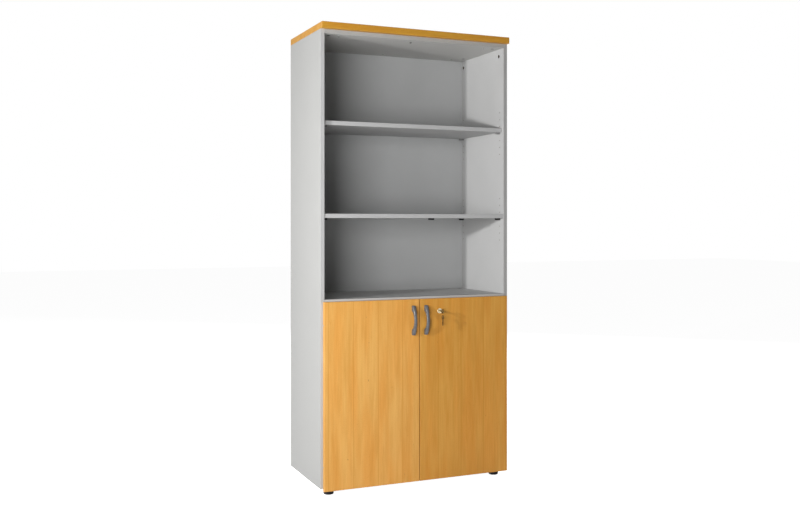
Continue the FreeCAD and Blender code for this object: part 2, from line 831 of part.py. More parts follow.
def door_left():
    """Left leaf, with holes for the slide bolt's screws."""
    hole = screw_hole(bolt_screw_length - bolt_housing_depth, bolt_screw_radius)
    return door_board().cut([placed(hole, V(point.x, door_back, point.z), -Y_AXIS)
                             for point in bolt_screw_points()])


def door_right():
    """Right leaf, with the bore for the lock."""
    bore = rod(lock_housing_radius + fit, lock_point(door_back + 1), -Y_AXIS, door_thickness + 2)
    return mirrored(door_board()).cut(bore)


def door_buffers():
    """Soft buffers on the left door's back, where it meets the deck and the carcass bottom."""
    thickness = door_buffer_gap - buffer_clearance
    x = -door_inner_edge - buffer_from_edge
    levels = ((deck_bottom + door_top) / 2, side_bottom + board / 2)
    discs = [rod(buffer_radius, V(x, door_back, z), Y_AXIS, thickness) for z in levels]
    return [disc.makeFillet(0.5, edges_in_plane(disc, "Y", door_back + thickness)) for disc in discs]


# ---- Lock ------------------------------------------------------------------
def lock_point(y):
    return V(lock_from_middle, y, lock_height)


def housing_end():
    """Rear end of the lock housing, behind the door."""
    return door_back + lock_housing_behind


def lock_housing():
    """Nickel-plated housing with its rosette on the door's front."""
    barrel = rod(lock_housing_radius, lock_point(door_front), Y_AXIS, housing_end() - door_front)
    face = door_front - lock_rosette_thickness
    rosette = rod(lock_rosette_radius, lock_point(face), Y_AXIS, lock_rosette_thickness)
    rosette = rosette.makeFillet(1.2, edges_in_plane(rosette, "Y", face))
    bore = rod(lock_plug_radius + lock_running_fit, lock_point(face - 1), Y_AXIS, overall_width)
    return barrel.fuse(rosette).removeSplitter().cut(bore)


def lock_nut():
    """Hexagon nut that holds the housing in the door."""
    radius = nut_across_flats / 2 / math.cos(math.radians(30))
    corners = [V(lock_from_middle + radius * math.cos(math.radians(60 * k)), door_back,
                 lock_height + radius * math.sin(math.radians(60 * k))) for k in range(7)]
    nut = Part.Face(Part.makePolygon(corners)).extrude(V(0, nut_thickness, 0))
    return nut.cut(rod(lock_housing_radius + fit, lock_point(door_back - 1), Y_AXIS, nut_thickness + 2))


def cam_plane():
    """Front face of the cam, just behind the housing."""
    return housing_end() + plug_shoulder


def lock_plug():
    """Turning plug with its keyway, and a square at its rear end for the cam."""
    face = door_front - lock_rosette_thickness + plug_recess
    shoulder = cam_plane()
    body = rod(lock_plug_radius, lock_point(face), Y_AXIS, shoulder - face)
    half = cam_square / 2
    square = block((lock_from_middle - half, lock_from_middle + half),
                   (shoulder - 1, shoulder + cam_plate_thickness), (lock_height - half, lock_height + half))
    width = keyway_width / 2
    height = keyway_height / 2
    keyway = block((lock_from_middle - width, lock_from_middle + width),
                   (face - 1, face + key_blade_in_plug + 1), (lock_height - height, lock_height + height))
    hole = placed(screw_hole(cam_screw_length, cam_screw_radius), lock_point(shoulder + cam_plate_thickness),
                  -Y_AXIS)
    return body.fuse(square).cut([keyway, hole])


def lock_cam():
    """Steel cam on the plug, pointing sideways when the lock is open."""
    half = cam_plate_width / 2
    start = cam_plane()
    plate = block((lock_from_middle - half, lock_from_middle + cam_plate_reach),
                  (start, start + cam_plate_thickness), (lock_height - half, lock_height + half))
    plate = plate.makeFillet(half * 0.9, edges_in_plane(plate, "X", lock_from_middle - half, "Y"))
    plate = plate.makeFillet(2, edges_in_plane(plate, "X", lock_from_middle + cam_plate_reach, "Y"))
    side = cam_square / 2 + cam_square_fit
    square = block((lock_from_middle - side, lock_from_middle + side), (start - 1, start + 5),
                   (lock_height - side, lock_height + side))
    return plate.cut(square)


def lock_cam_screw():
    screw = pan_screw(cam_screw_length, cam_screw_radius, cam_screw_head_radius, cam_screw_head_height)
    return placed(screw, lock_point(cam_plane() + cam_plate_thickness), -Y_AXIS)


def key_shape(blade_length, shank_length):
    """Flat key in the YZ plane: bow at the origin, shank and blade along +Y."""
    half = key_thickness / 2
    bow = rod(key_bow_radius, V(-half, 0, 0), X_AXIS, key_thickness)
    shank = block((-half, half), (0, key_bow_radius + shank_length),
                  (-key_shank_height / 2, key_shank_height / 2))
    start = key_bow_radius + shank_length
    outline = [V(0, start - 1, -key_blade_height / 2), V(0, start - 1, key_blade_height / 2),
               V(0, start + blade_length - 2, key_blade_height / 2), V(0, start + blade_length, 0.6),
               V(0, start + blade_length - 1.5, -key_blade_height / 2 + 1.2)]
    for notch in range(3):
        y = start + blade_length * (0.78 - 0.24 * notch)
        depth = 1.2 + 0.5 * ((notch * 2) % 3)
        outline.append(V(0, y + 1.2, -key_blade_height / 2))
        outline.append(V(0, y, -key_blade_height / 2 + depth))
        outline.append(V(0, y - 1.2, -key_blade_height / 2))
    outline.append(outline[0])
    blade = Part.Face(Part.makePolygon(outline)).extrude(V(key_thickness, 0, 0))
    blade.translate(V(-half, 0, 0))
    hole = rod(key_bow_hole_radius, V(-half - 1, -key_bow_hole_offset, 0), X_AXIS, key_thickness + 2)
    return bow.fuse([shank, blade]).removeSplitter().cut(hole)


def key_in_lock():
    """The key in the lock, its blade in the plug and its bow upright."""
    face = door_front - lock_rosette_thickness + plug_recess
    shank = face - key_shoulder_gap - key_bow_y - key_bow_radius
    key = key_shape(key_blade_in_plug + key_shoulder_gap, shank)
    key.translate(lock_point(key_bow_y))
    return key


def ring_top():
    """Middle of the ring's wire where it hangs in the key's bow: the axis that it swings about."""
    drop = key_bow_hole_radius - ring_wire_radius - ring_clearance
    return V(lock_from_middle, key_bow_y - key_bow_hole_offset, lock_height - drop)


def key_ring():
    """Wire ring that hangs through the bow of the key in the lock."""
    top = ring_top()
    return Part.makeTorus(ring_radius, ring_wire_radius, V(top.x, top.y, top.z - ring_radius), Y_AXIS)


def spare_key():
    """Second key, hanging from the ring with its blade down."""
    blade = spare_key_length - 2 * key_bow_radius - 6
    key = key_shape(blade, 6)
    key.rotate(V(0, 0, 0), X_AXIS, -90)
    bottom = ring_top().z - 2 * ring_radius
    hole_top = bottom + ring_wire_radius + ring_clearance
    hole_middle = hole_top - key_bow_hole_radius
    key.translate(V(lock_from_middle, ring_top().y, hole_middle - key_bow_hole_offset))
    return key


# ---- Keepers under the deck ------------------------------------------------
def keeper_screw_points(x):
    level = deck_bottom - keeper_thickness
    return [V(x + sign * keeper_screw_half_spacing, keeper_screw_place, level) for sign in (-1, 1)]


def keeper(x):
    """Steel angle under the deck: the lock's cam or the bolt stands behind its tab."""
    half = keeper_width / 2
    tab = block((x - half, x + half), (keeper_front_gap, keeper_front_gap + keeper_thickness),
                (deck_bottom - keeper_drop, deck_bottom))
    leg = block((x - half, x + half), (keeper_front_gap, keeper_depth),
                (deck_bottom - keeper_thickness, deck_bottom))
    angle = tab.fuse(leg).removeSplitter()
    hole = flush_hole(keeper_screw_length, keeper_screw_radius, keeper_screw_head_radius,
                      keeper_screw_head_height)
    return angle.cut([placed(hole, point, Z_AXIS) for point in keeper_screw_points(x)])


def keeper_screws():
    screw = flush_screw(keeper_screw_length, keeper_screw_radius, keeper_screw_head_radius,
                        keeper_screw_head_height)
    return [placed(screw, point, Z_AXIS) for x in keeper_places() for point in keeper_screw_points(x)]


def keeper_places():
    return (lock_from_middle, -bolt_from_middle)


def deck():
    """Fixed floor of the open part, drilled below for the keepers' screws."""
    hole = screw_hole(keeper_screw_length - keeper_thickness, keeper_screw_radius)
    cutters = [placed(hole, V(point.x, point.y, deck_bottom), Z_AXIS)
               for x in keeper_places() for point in keeper_screw_points(x)]
    return fixed_panel(deck_bottom).cut(cutters)


# ---- Slide bolt ------------------------------------------------------------
def bolt_rod_top():
    """Top of the bolt when it is drawn back, below the keeper's tab."""
    return deck_bottom - keeper_drop - bolt_rod_below_keeper


def bolt_axis(z):
    return V(-bolt_from_middle, door_back + bolt_rod_behind_door, z)


def bolt_housing_top():
    return bolt_rod_top() - bolt_housing_below_rod_top


def bolt_screw_points():
    """Where the bolt's housing is screwed to the door, on the housing's rear face."""
    middle = bolt_housing_top() - bolt_housing_height / 2
    side = bolt_housing_width / 2 - bolt_screw_from_side
    y = door_back + bolt_housing_depth
    return [V(-bolt_from_middle + sign * side, y, middle + sign * bolt_screw_half_spacing)
            for sign in (-1, 1)]


def bolt_housing():
    """Block on the door's back that guides the bolt."""
    half = bolt_housing_width / 2
    top = bolt_housing_top()
    body = block((-bolt_from_middle - half, -bolt_from_middle + half),
                 (door_back, door_back + bolt_housing_depth), (top - bolt_housing_height, top))
    eased = edges_in_plane(body, "Y", door_back + bolt_housing_depth)
    body = body.makeFillet(bolt_housing_edge_radius, eased)
    bore = rod(bolt_rod_radius + bolt_running_fit, bolt_axis(0), Z_AXIS, overall_height)
    hole = flush_hole(bolt_screw_length, bolt_screw_radius, bolt_screw_head_radius, bolt_screw_head_height)
    return body.cut([bore] + [placed(hole, point, -Y_AXIS) for point in bolt_screw_points()])


def door_bolt():
    """Round bolt with a knob below its housing, as far below as the bolt travels."""
    top = bolt_rod_top()
    low = bolt_housing_top() - bolt_housing_height - bolt_travel - bolt_stop_clearance - bolt_knob_height
    bar = rod(bolt_rod_radius, bolt_axis(low), Z_AXIS, top - low)
    bar = bar.makeChamfer(1.0, edges_in_plane(bar, "Z", top))
    knob = rod(bolt_knob_radius, bolt_axis(low), Z_AXIS, bolt_knob_height)
    rims = edges_in_plane(knob, "Z", low) + edges_in_plane(knob, "Z", low + bolt_knob_height)
    knob = knob.makeFillet(1.2, rims)
    return bar.fuse(knob).removeSplitter()


def bolt_screws():
    screw = flush_screw(bolt_screw_length, bolt_screw_radius, bolt_screw_head_radius,
                        bolt_screw_head_height)
    return [placed(screw, point, -Y_AXIS) for point in bolt_screw_points()]


# ---- Carcass ---------------------------------------------------------------
left_side = side_panel()
save("side_left", [left_side])
save("side_right", [mirrored(left_side)])
save("carcass_top", [carcass_top()])
save("deck", [deck()])
save("carcass_bottom", [carcass_bottom()])
save("back_panel", [back_panel()])
save("top_cover", [top_cover()])
for shelf in shelf_tops:
    save(shelf, [adjustable_shelf(shelf)])
save("shelf_supports", both_sides([shelf_support(y, support_height_of(shelf))
                                   for shelf in shelf_tops for y in support_rows()]))
save("shelf_clip", [shelf_clip()])

save("dowels", both_sides([dowel(y, low + board / 2) for low in fixed_panel_levels()
                           for y in dowel_rows()]))
save("cam_bolts", both_sides([cam_bolt(y, low + board / 2) for low in fixed_panel_levels()
                              for y in cam_rows_at(low)]))
save("cam_housings", both_sides([cam_housing(y, low) for low in fixed_panel_levels()
                                 for y in cam_rows_at(low)]))
cover_screw = pan_screw(cover_screw_length, cover_screw_radius, cover_screw_head_radius,
                        cover_screw_head_height)
save("cover_screws", [placed(cover_screw, point, Z_AXIS) for point in cover_screw_points()])
back_screw = flush_screw(back_screw_length, back_screw_radius, back_screw_head_radius,
                         back_screw_head_height)
save("back_screws", [placed(back_screw, point, -Y_AXIS) for point in back_screw_points()])

# ---- Feet ------------------------------------------------------------------
for foot, point in foot_points().items():
    save(foot, [foot_pad(point)])
save("foot_stems", [foot_stem(point) for point in foot_points().values()])
save("foot_sleeves", [foot_sleeve(point) for point in foot_points().values()])

# ---- Doors and hinges ------------------------------------------------------
save("door_left", [door_left()])
save("door_right", [door_right()])
save("door_buffers_left", door_buffers())
save("door_buffers_right", [mirrored(disc) for disc in door_buffers()])
for end, z in hinge_levels().items():
    save("hinge_arm_left_" + end, [hinge_arm(z)])
    save("hinge_arm_right_" + end, [mirrored(hinge_arm(z))])
    save("hinge_cup_left_" + end, [hinge_cup(z)])
    save("hinge_cup_right_" + end, [mirrored(hinge_cup(z))])
pins = [hinge_pin(z) for z in hinge_levels().values()]
save("hinge_pins_left", pins)
save("hinge_pins_right", [mirrored(pin) for pin in pins])
plate_screw = flush_screw(plate_screw_length, plate_screw_radius, plate_screw_head_radius,
                          plate_screw_head_height)
save("hinge_arm_screws", both_sides([placed(plate_screw, point, -X_AXIS)
                                     for point in plate_screw_points()]))
cup_screw = flush_screw(cup_screw_length, cup_screw_radius, cup_screw_head_radius, cup_screw_head_height)
cup_screws = [placed(cup_screw, point, -Y_AXIS) for z in hinge_levels().values()
              for point in cup_screw_points(z)]
save("hinge_cup_screws_left", cup_screws)
save("hinge_cup_screws_right", [mirrored(screw) for screw in cup_screws])

# ---- Handles, lock and bolt ------------------------------------------------
save("handle_left", [handle(-handle_from_middle)])
save("handle_right", [handle(handle_from_middle)])
save("handle_screws_left", handle_screws(-handle_from_middle))
save("handle_screws_right", handle_screws(handle_from_middle))

save("lock_housing", [lock_housing()])
save("lock_nut", [lock_nut()])
save("lock_plug", [lock_plug()])
save("lock_cam", [lock_cam()])
save("lock_cam_screw", [lock_cam_screw()])
save("key", [key_in_lock()])
save("key_ring", [key_ring()])
save("spare_key", [spare_key()])
save("lock_keeper", [keeper(lock_from_middle)])
save("bolt_keeper", [keeper(-bolt_from_middle)])
save("keeper_screws", keeper_screws())

save("bolt_housing", [bolt_housing()])
save("door_bolt", [door_bolt()])
save("bolt_screws", bolt_screws())
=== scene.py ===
import bpy
import bmesh
from math import cos, degrees, pi, radians, sqrt
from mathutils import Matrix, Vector


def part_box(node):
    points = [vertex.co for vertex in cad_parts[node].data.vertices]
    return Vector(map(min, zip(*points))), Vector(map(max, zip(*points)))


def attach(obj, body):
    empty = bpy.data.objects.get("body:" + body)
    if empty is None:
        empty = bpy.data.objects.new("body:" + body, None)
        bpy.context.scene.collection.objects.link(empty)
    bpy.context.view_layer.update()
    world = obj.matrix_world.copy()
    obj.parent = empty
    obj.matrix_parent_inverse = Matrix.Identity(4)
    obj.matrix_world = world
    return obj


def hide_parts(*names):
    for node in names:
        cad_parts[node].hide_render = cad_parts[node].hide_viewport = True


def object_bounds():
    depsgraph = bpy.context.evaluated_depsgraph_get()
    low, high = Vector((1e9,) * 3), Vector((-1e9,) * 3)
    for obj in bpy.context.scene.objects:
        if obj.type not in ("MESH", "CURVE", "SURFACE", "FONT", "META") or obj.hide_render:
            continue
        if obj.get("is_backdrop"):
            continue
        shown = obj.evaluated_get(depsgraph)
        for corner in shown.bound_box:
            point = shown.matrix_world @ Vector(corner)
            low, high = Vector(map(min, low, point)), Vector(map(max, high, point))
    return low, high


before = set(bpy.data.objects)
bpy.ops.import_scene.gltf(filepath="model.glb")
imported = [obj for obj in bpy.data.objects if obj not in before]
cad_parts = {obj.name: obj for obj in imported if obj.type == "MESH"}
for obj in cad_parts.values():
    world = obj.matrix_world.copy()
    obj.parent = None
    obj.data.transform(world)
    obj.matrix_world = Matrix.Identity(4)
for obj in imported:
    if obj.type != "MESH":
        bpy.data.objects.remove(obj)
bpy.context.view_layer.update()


# ---- Carcass boards --------------------------------------------------------
# The two sides, the fixed panels and the loose shelves: chipboard faced with light-grey melamine,
# pressed with a fine texture. A thin band is glued to each edge that shows. Bores and rebates are
# cut after the foil goes on, so they show raw chipboard, as do the edges that nobody sees. Deep in a
# bore the chipboard is darkened with painted shade.
def node(tree, kind, inputs, **settings):
    """Adds a shader node, makes its settings and fills its inputs with values or other sockets."""
    made = tree.nodes.new(kind)
    for name, value in settings.items():
        setattr(made, name, value)
    for key, value in inputs.items():
        if isinstance(value, bpy.types.NodeSocket):
            tree.links.new(value, made.inputs[key])
        else:
            made.inputs[key].default_value = value
    return made


def calc(tree, operation, *values):
    """One step of arithmetic."""
    return node(tree, "ShaderNodeMath", dict(enumerate(values)), operation=operation).outputs[0]


def vector_calc(tree, operation, *values):
    """One step of arithmetic on places."""
    step = node(tree, "ShaderNodeVectorMath", dict(enumerate(values)), operation=operation)
    return step.outputs["Value" if operation == "DOT_PRODUCT" else "Vector"]


def axes(tree, place):
    """The X, Y and Z of a place."""
    return node(tree, "ShaderNodeSeparateXYZ", {0: place}).outputs


def between(tree, value, low, high, start=0.0, end=1.0):
    """A soft step from start to end while a value goes from low to high."""
    inputs = {"Value": value, "From Min": low, "From Max": high, "To Min": start, "To Max": end}
    return node(tree, "ShaderNodeMapRange", inputs, interpolation_type="SMOOTHSTEP").outputs[0]


def mixed(tree, share, first, second, how="MIX"):
    """Two colours mixed by a share; a Mix node has its share in socket 0 and colours in 6, 7 and 2."""
    inputs = {0: share, 6: first, 7: second}
    return node(tree, "ShaderNodeMix", inputs, data_type="RGBA", blend_type=how).outputs[2]


def toned(tree, colour, level):
    """A colour made lighter or darker by a level."""
    grey = node(tree, "ShaderNodeCombineColor", {0: level, 1: level, 2: level}).outputs[0]
    return mixed(tree, 1.0, colour, grey, "MULTIPLY")


def noise(tree, place, scale, detail=3.0):
    """Soft noise over a place, with that many features a metre."""
    inputs = {"Vector": place, "Scale": scale, "Detail": detail}
    return node(tree, "ShaderNodeTexNoise", inputs).outputs["Fac"]


def new_group(name, inputs, outputs):
    """An empty effect with named inputs and outputs; gives it and its inner inputs."""
    group = bpy.data.node_groups.new(name, "ShaderNodeTree")
    for label, kind in inputs.items():
        group.interface.new_socket(label, in_out="INPUT", socket_type="NodeSocket" + kind)
    for label, kind in outputs.items():
        group.interface.new_socket(label, in_out="OUTPUT", socket_type="NodeSocket" + kind)
    return group, group.nodes.new("NodeGroupInput").outputs


def close_group(group, results):
    """Joins what an effect works out to its outputs."""
    node(group, "NodeGroupOutput", results)


def effect(tree, group, inputs):
    """Places an effect in a material and gives its outputs."""
    return node(tree, "ShaderNodeGroup", inputs, node_tree=group).outputs


def new_material(name, settings):
    """A material with its shader's constant settings made; gives it, its tree and places on the piece."""
    material = bpy.data.materials.new(name)
    material.use_nodes = True
    shader = material.node_tree.nodes["Principled BSDF"]
    for label, value in settings.items():
        shader.inputs[label].default_value = value
    place = material.node_tree.nodes.new("ShaderNodeTexCoord").outputs["Object"]
    return material, material.node_tree, place


def finish_material(material, colour, roughness, height, depth):
    """Joins colour, roughness and a relief of the given depth in metres to a material's shader."""
    tree = material.node_tree
    shader = tree.nodes["Principled BSDF"]
    normal = node(tree, "ShaderNodeBump", {"Distance": depth, "Height": height}).outputs["Normal"]
    for label, value in {"Base Color": colour, "Roughness": roughness, "Normal": normal}.items():
        tree.links.new(value, shader.inputs[label])


def dress(material, *names):
    """Gives parts of the frame their finish."""
    for name in names:
        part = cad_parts[name]
        part.data.materials.clear()
        part.data.materials.append(material)


# Where a place lies on a board: on a worn arris, on a band's seam, on raw chipboard or deep in a bore.
# The board's thin axis is moved out of the way to find the nearest rim of its face.
axis_ways = {"X": (1.0, 0.0, 0.0), "Y": (0.0, 1.0, 0.0), "Z": (0.0, 0.0, 1.0)}
band_thickness, seam_core, seam_reach = 0.0010, 0.00005, 0.00025
arris_core, arris_reach = 0.0005, 0.0022
foil_under, edge_under = 0.0004, 0.0009
out_of_the_way = 10.0
board_edges, given = new_group(
    "Board edges",
    {"Place": "Vector", "Centre": "Vector", "Half size": "Vector", "Thin": "Vector", "Banded": "Float"},
    {"Arris": "Float", "Seam": "Float", "Raw": "Float", "Deep": "Float"})
from_centre = vector_calc(board_edges, "SUBTRACT", given["Place"], given["Centre"])
either_way = vector_calc(board_edges, "ABSOLUTE", from_centre)
inwards = vector_calc(board_edges, "SUBTRACT", given["Half size"], either_way)
x, y, z = axes(board_edges, inwards)
low_pair = calc(board_edges, "MINIMUM", x, y)
high_pair = calc(board_edges, "MAXIMUM", x, y)
nearest = calc(board_edges, "MINIMUM", low_pair, z)
to_arris = calc(board_edges, "MAXIMUM", low_pair, calc(board_edges, "MINIMUM", high_pair, z))
far = node(board_edges, "ShaderNodeVectorMath", {0: given["Thin"], "Scale": out_of_the_way},
           operation="SCALE").outputs["Vector"]
x, y, z = axes(board_edges, vector_calc(board_edges, "ADD", inwards, far))
to_rim = calc(board_edges, "MINIMUM", calc(board_edges, "MINIMUM", x, y), z)
under_face = vector_calc(board_edges, "DOT_PRODUCT", inwards, given["Thin"])
on_edge = between(board_edges, under_face, foil_under, edge_under)
from_low_corner = vector_calc(board_edges, "ADD", from_centre, given["Half size"])
behind_band = between(board_edges, axes(board_edges, from_low_corner)["Y"], band_thickness, 0.0013)
unbanded = calc(board_edges, "SUBTRACT", 1.0, given["Banded"])
unbanded = calc(board_edges, "MULTIPLY", unbanded, behind_band)
in_bore = between(board_edges, nearest, 0.0005, 0.0008)
raw = calc(board_edges, "MAXIMUM", in_bore, calc(board_edges, "MULTIPLY", unbanded, on_edge))
from_seam = calc(board_edges, "ABSOLUTE", calc(board_edges, "SUBTRACT", to_rim, band_thickness))
seam = calc(board_edges, "MULTIPLY", between(board_edges, from_seam, seam_core, seam_reach, 1.0, 0.0),
            calc(board_edges, "SUBTRACT", 1.0, on_edge))
close_group(board_edges, {
    "Arris": between(board_edges, to_arris, arris_core, arris_reach, 1.0, 0.0),
    "Seam": seam,
    "Raw": raw,
    "Deep": between(board_edges, nearest, 0.0004, 0.0018)})

# Raw chipboard: pressed flakes of many tones.
dark_flake, pale_flake = (0.32, 0.225, 0.135, 1.0), (0.60, 0.475, 0.31, 1.0)
chipboard, given = new_group("Chipboard", {"Place": "Vector"}, {"Color": "Color", "Height": "Float"})
flakes = node(chipboard, "ShaderNodeTexVoronoi", {"Vector": given["Place"], "Scale": 520.0})
dust = noise(chipboard, given["Place"], 1500.0)
grey_of_flake = node(chipboard, "ShaderNodeRGBToBW", {0: flakes.outputs["Color"]}).outputs[0]
flake_colour = mixed(chipboard, grey_of_flake, dark_flake, pale_flake)
close_group(chipboard, {
    "Color": toned(chipboard, flake_colour, between(chipboard, dust, 0.3, 0.7, 0.8, 1.08)),
    "Height": calc(chipboard, "ADD", dust, flakes.outputs["Distance"])})

# Melamine foil: a fine pressed texture and a faint cloudiness.
pressed_foil, given = new_group(
    "Pressed foil", {"Place": "Vector", "Tone": "Color"},
    {"Color": "Color", "Roughness": "Float", "Height": "Float"})
grains = noise(pressed_foil, given["Place"], 1300.0, 2.0)
cloud = noise(pressed_foil, given["Place"], 7.0, 4.0)
level = calc(pressed_foil, "MULTIPLY", between(pressed_foil, cloud, 0.25, 0.75, 0.98, 1.02),
             between(pressed_foil, grains, 0.3, 0.7, 0.975, 1.025))
rough = calc(pressed_foil, "ADD", between(pressed_foil, cloud, 0.2, 0.8, 0.40, 0.50),
             calc(pressed_foil, "MULTIPLY", grains, 0.10))
close_group(pressed_foil, {
    "Color": toned(pressed_foil, given["Tone"], level),
    "Roughness": rough,
    "Height": grains})


def edges_of(tree, place, board, thin, banded):
    """The edge masks of one board that is thin along the axis named."""
    low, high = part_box(board)
    return effect(tree, board_edges, {
        "Place": place, "Centre": (low + high) / 2, "Half size": (high - low) / 2,
        "Thin": axis_ways[thin], "Banded": banded})


def finish_board(material, edges, wood, wood_colour, colour, rough, relief):
    """Shows raw chipboard where a board is cut, sinks its seams and joins all to the shader."""
    tree = material.node_tree
    colour = mixed(tree, edges["Raw"], colour, wood_colour)
    rough = calc(tree, "ADD", rough, calc(tree, "MULTIPLY", edges["Raw"], 0.35))
    height = calc(tree, "ADD", relief, calc(tree, "MULTIPLY", wood["Height"], edges["Raw"]))
    height = calc(tree, "SUBTRACT", height, calc(tree, "MULTIPLY", edges["Seam"], 0.4))
    finish_material(material, colour, rough, height, depth=0.0004)


worn_foil, glue_line = (0.62, 0.61, 0.58, 1.0), (0.10, 0.095, 0.09, 1.0)


def board_material(name, board, thin, tone, band_tone_or_painted_shade):
    """Melamine on one board, with its band seams, its worn arrises and its raw edges and bores."""
    material, tree, place = new_material(name + "_" + board, {"Specular IOR Level": 0.16})
    # Within the front band the board takes its band tone, which for some boards is painted shade.
    into_board = calc(tree, "SUBTRACT", axes(tree, place)["Y"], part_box(board)[0].y)
    board_tone_and_painted_light = mixed(tree, between(tree, into_board, 0.0008, 0.0012), band_tone_or_painted_shade, tone)
    foil = effect(tree, pressed_foil, {"Place": place, "Tone": board_tone_and_painted_light})
    edges = edges_of(tree, place, board, thin, 0.0)
    wood = effect(tree, chipboard, {"Place": place})
    # Painted shade: deep inside bores the chipboard is darkened almost to black, standing for the shade in
    # the holes.
    painted_bore_shade = calc(tree, "SUBTRACT", 1.0, calc(tree, "MULTIPLY", edges["Deep"], 0.93))
    chips = between(tree, noise(tree, place, 260.0, 4.0), 0.52, 0.66)
    worn = calc(tree, "MULTIPLY", edges["Arris"], chips)
    colour = mixed(tree, calc(tree, "MULTIPLY", worn, 0.35), foil["Color"], worn_foil)
    colour = mixed(tree, calc(tree, "MULTIPLY", edges["Seam"], 0.45), colour, glue_line)
    finish_board(material, edges, wood, toned(tree, wood["Color"], painted_bore_shade), colour, foil["Roughness"],
                 calc(tree, "MULTIPLY", foil["Height"], 0.12))
    return material


# Painted shade: the darker band tone on the front edges of the carcass top and the right side stands for the
# shade under the cover's overhang and the light falling off towards the right.
light_grey, painted_shade_band = (0.42, 0.42, 0.42, 1.0), (0.34, 0.34, 0.335, 1.0)
# Painted light and shade: the left side's grey is painted a little darker and the right side's a little
# lighter than the other boards, standing for the lamp's light falling off from left to right.
left_grey_painted_darker, right_grey_painted_lighter = (0.397, 0.397, 0.388, 1.0), (0.445, 0.445, 0.442, 1.0)
# Painted light: the carcass top and the deck are painted a lighter grey, standing for more light on the
# compartment's ceiling and on the deck.
ceiling_grey_painted_lighter, deck_grey_painted_lighter = (0.50, 0.495, 0.48, 1.0), (0.48, 0.48, 0.475, 1.0)
for board, thin, tone, band_tone_or_painted_shade in (
        ("side_left", "X", left_grey_painted_darker, light_grey),
        ("side_right", "X", right_grey_painted_lighter, painted_shade_band),
        ("carcass_top", "Z", ceiling_grey_painted_lighter, painted_shade_band),
        ("deck", "Z", deck_grey_painted_lighter, deck_grey_painted_lighter),
        ("carcass_bottom", "Z", light_grey, light_grey),
        ("shelf_upper", "Z", light_grey, light_grey),
        ("shelf_middle", "Z", light_grey, light_grey),
        ("shelf_inner", "Z", light_grey, light_grey)):
    dress(board_material("grey_melamine", board, thin, tone, band_tone_or_painted_shade), board)


# ---- Back panel ------------------------------------------------------------
# A thin board with the same foil on both faces, laid in the rebate of the sides and screwed on all
# round from behind.
back_grey = (0.42, 0.425, 0.425, 1.0)
dress(board_material("back_board", "back_panel", "Y", back_grey, back_grey), "back_panel")


# ---- Top cover -------------------------------------------------------------
# A thicker board with a printed beech decor, its grain along the front, and a beech band on all four
# edges. Screws come up into it through the carcass top.
stave_width, ring_count = 0.113, 16.0
dash_brown, fleck_brown = (0.30, 0.12, 0.03, 1.0), (0.20, 0.08, 0.025, 1.0)
warm_tint, cool_tint = (1.0, 0.94, 0.84, 1.0), (1.0, 1.05, 1.13, 1.0)
worn_beech, dark_seam = (0.86, 0.56, 0.24, 1.0), (0.22, 0.10, 0.03, 1.0)
beech_decor, given = new_group(
    "Beech decor", {"Grain place": "Vector", "Pale": "Color", "Deep": "Color"},
    {"Color": "Color", "Roughness": "Float", "Height": "Float"})


def grain(across, along, detail):
    """Noise drawn out along the grain, with that many features a metre each way."""
    stretched = vector_calc(beech_decor, "MULTIPLY", given["Grain place"], (across, along, across))
    return noise(beech_decor, stretched, 1.0, detail)


def share_of(value, weight):
    """A pattern's share in the decor."""
    return calc(beech_decor, "MULTIPLY", value, weight)


def from_half(value):
    """How far a value is from one half."""
    return calc(beech_decor, "ABSOLUTE", calc(beech_decor, "SUBTRACT", value, 0.5))


stave = calc(beech_decor, "DIVIDE", axes(beech_decor, given["Grain place"])["X"], stave_width)
stave_number = calc(beech_decor, "FLOOR", stave)
stave_tone = node(beech_decor, "ShaderNodeTexWhiteNoise", {"W": stave_number},
                  noise_dimensions="1D").outputs["Value"]
joint = between(beech_decor, from_half(calc(beech_decor, "FRACT", stave)), 0.472, 0.488)
bands = grain(across=30.0, along=2.6, detail=3.0)
streaks = grain(across=125.0, along=6.5, detail=5.0)
hairs = grain(across=1000.0, along=22.0, detail=2.0)
warmth = between(beech_decor, grain(across=24.0, along=2.2, detail=2.0), 0.32, 0.68)
growth = grain(across=17.0, along=1.1, detail=1.0)
rings = calc(beech_decor, "FRACT", calc(beech_decor, "MULTIPLY", growth, ring_count))
ring_patches = between(beech_decor, grain(across=11.0, along=2.4, detail=1.0), 0.48, 0.66)
ring_lines = between(beech_decor, from_half(rings), 0.0, 0.10, 1.0, 0.0)
ring_lines = calc(beech_decor, "MULTIPLY", ring_lines, ring_patches)
dashes = between(beech_decor, grain(across=1500.0, along=260.0, detail=0.0), 0.66, 0.74)
flecks = between(beech_decor, grain(across=95.0, along=55.0, detail=1.0), 0.775, 0.82)
finer_patterns = ((streaks, 0.40), (hairs, 0.16), (stave_tone, 0.07), (joint, 0.20), (ring_lines, 0.07))
tone = share_of(bands, 0.44)
for pattern, weight in finer_patterns:
    tone = calc(beech_decor, "ADD", tone, share_of(pattern, weight))
wood = mixed(beech_decor, between(beech_decor, tone, 0.34, 0.74), given["Pale"], given["Deep"])
wood = mixed(beech_decor, 1.0, wood, mixed(beech_decor, warmth, warm_tint, cool_tint), "MULTIPLY")
wood = mixed(beech_decor, share_of(dashes, 0.30), wood, dash_brown)
wood = mixed(beech_decor, share_of(flecks, 0.55), wood, fleck_brown)
close_group(beech_decor, {
    "Color": wood,
    "Roughness": between(beech_decor, tone, 0.3, 0.75, 0.40, 0.52),
    "Height": calc(beech_decor, "SUBTRACT", share_of(hairs, 0.5), share_of(dashes, 0.8))})


def grain_place(tree, place, along, thin, start):
    """Turns a place into (across, along, through) the grain, from a start across the printed decor."""
    ways = axes(tree, place)
    first, second = [ways[axis] for axis in "XYZ" if axis != along]
    across = calc(tree, "ADD", calc(tree, "ADD", first, second), start)
    return node(tree, "ShaderNodeCombineXYZ", {0: across, 1: ways[along], 2: ways[thin]}).outputs[0]


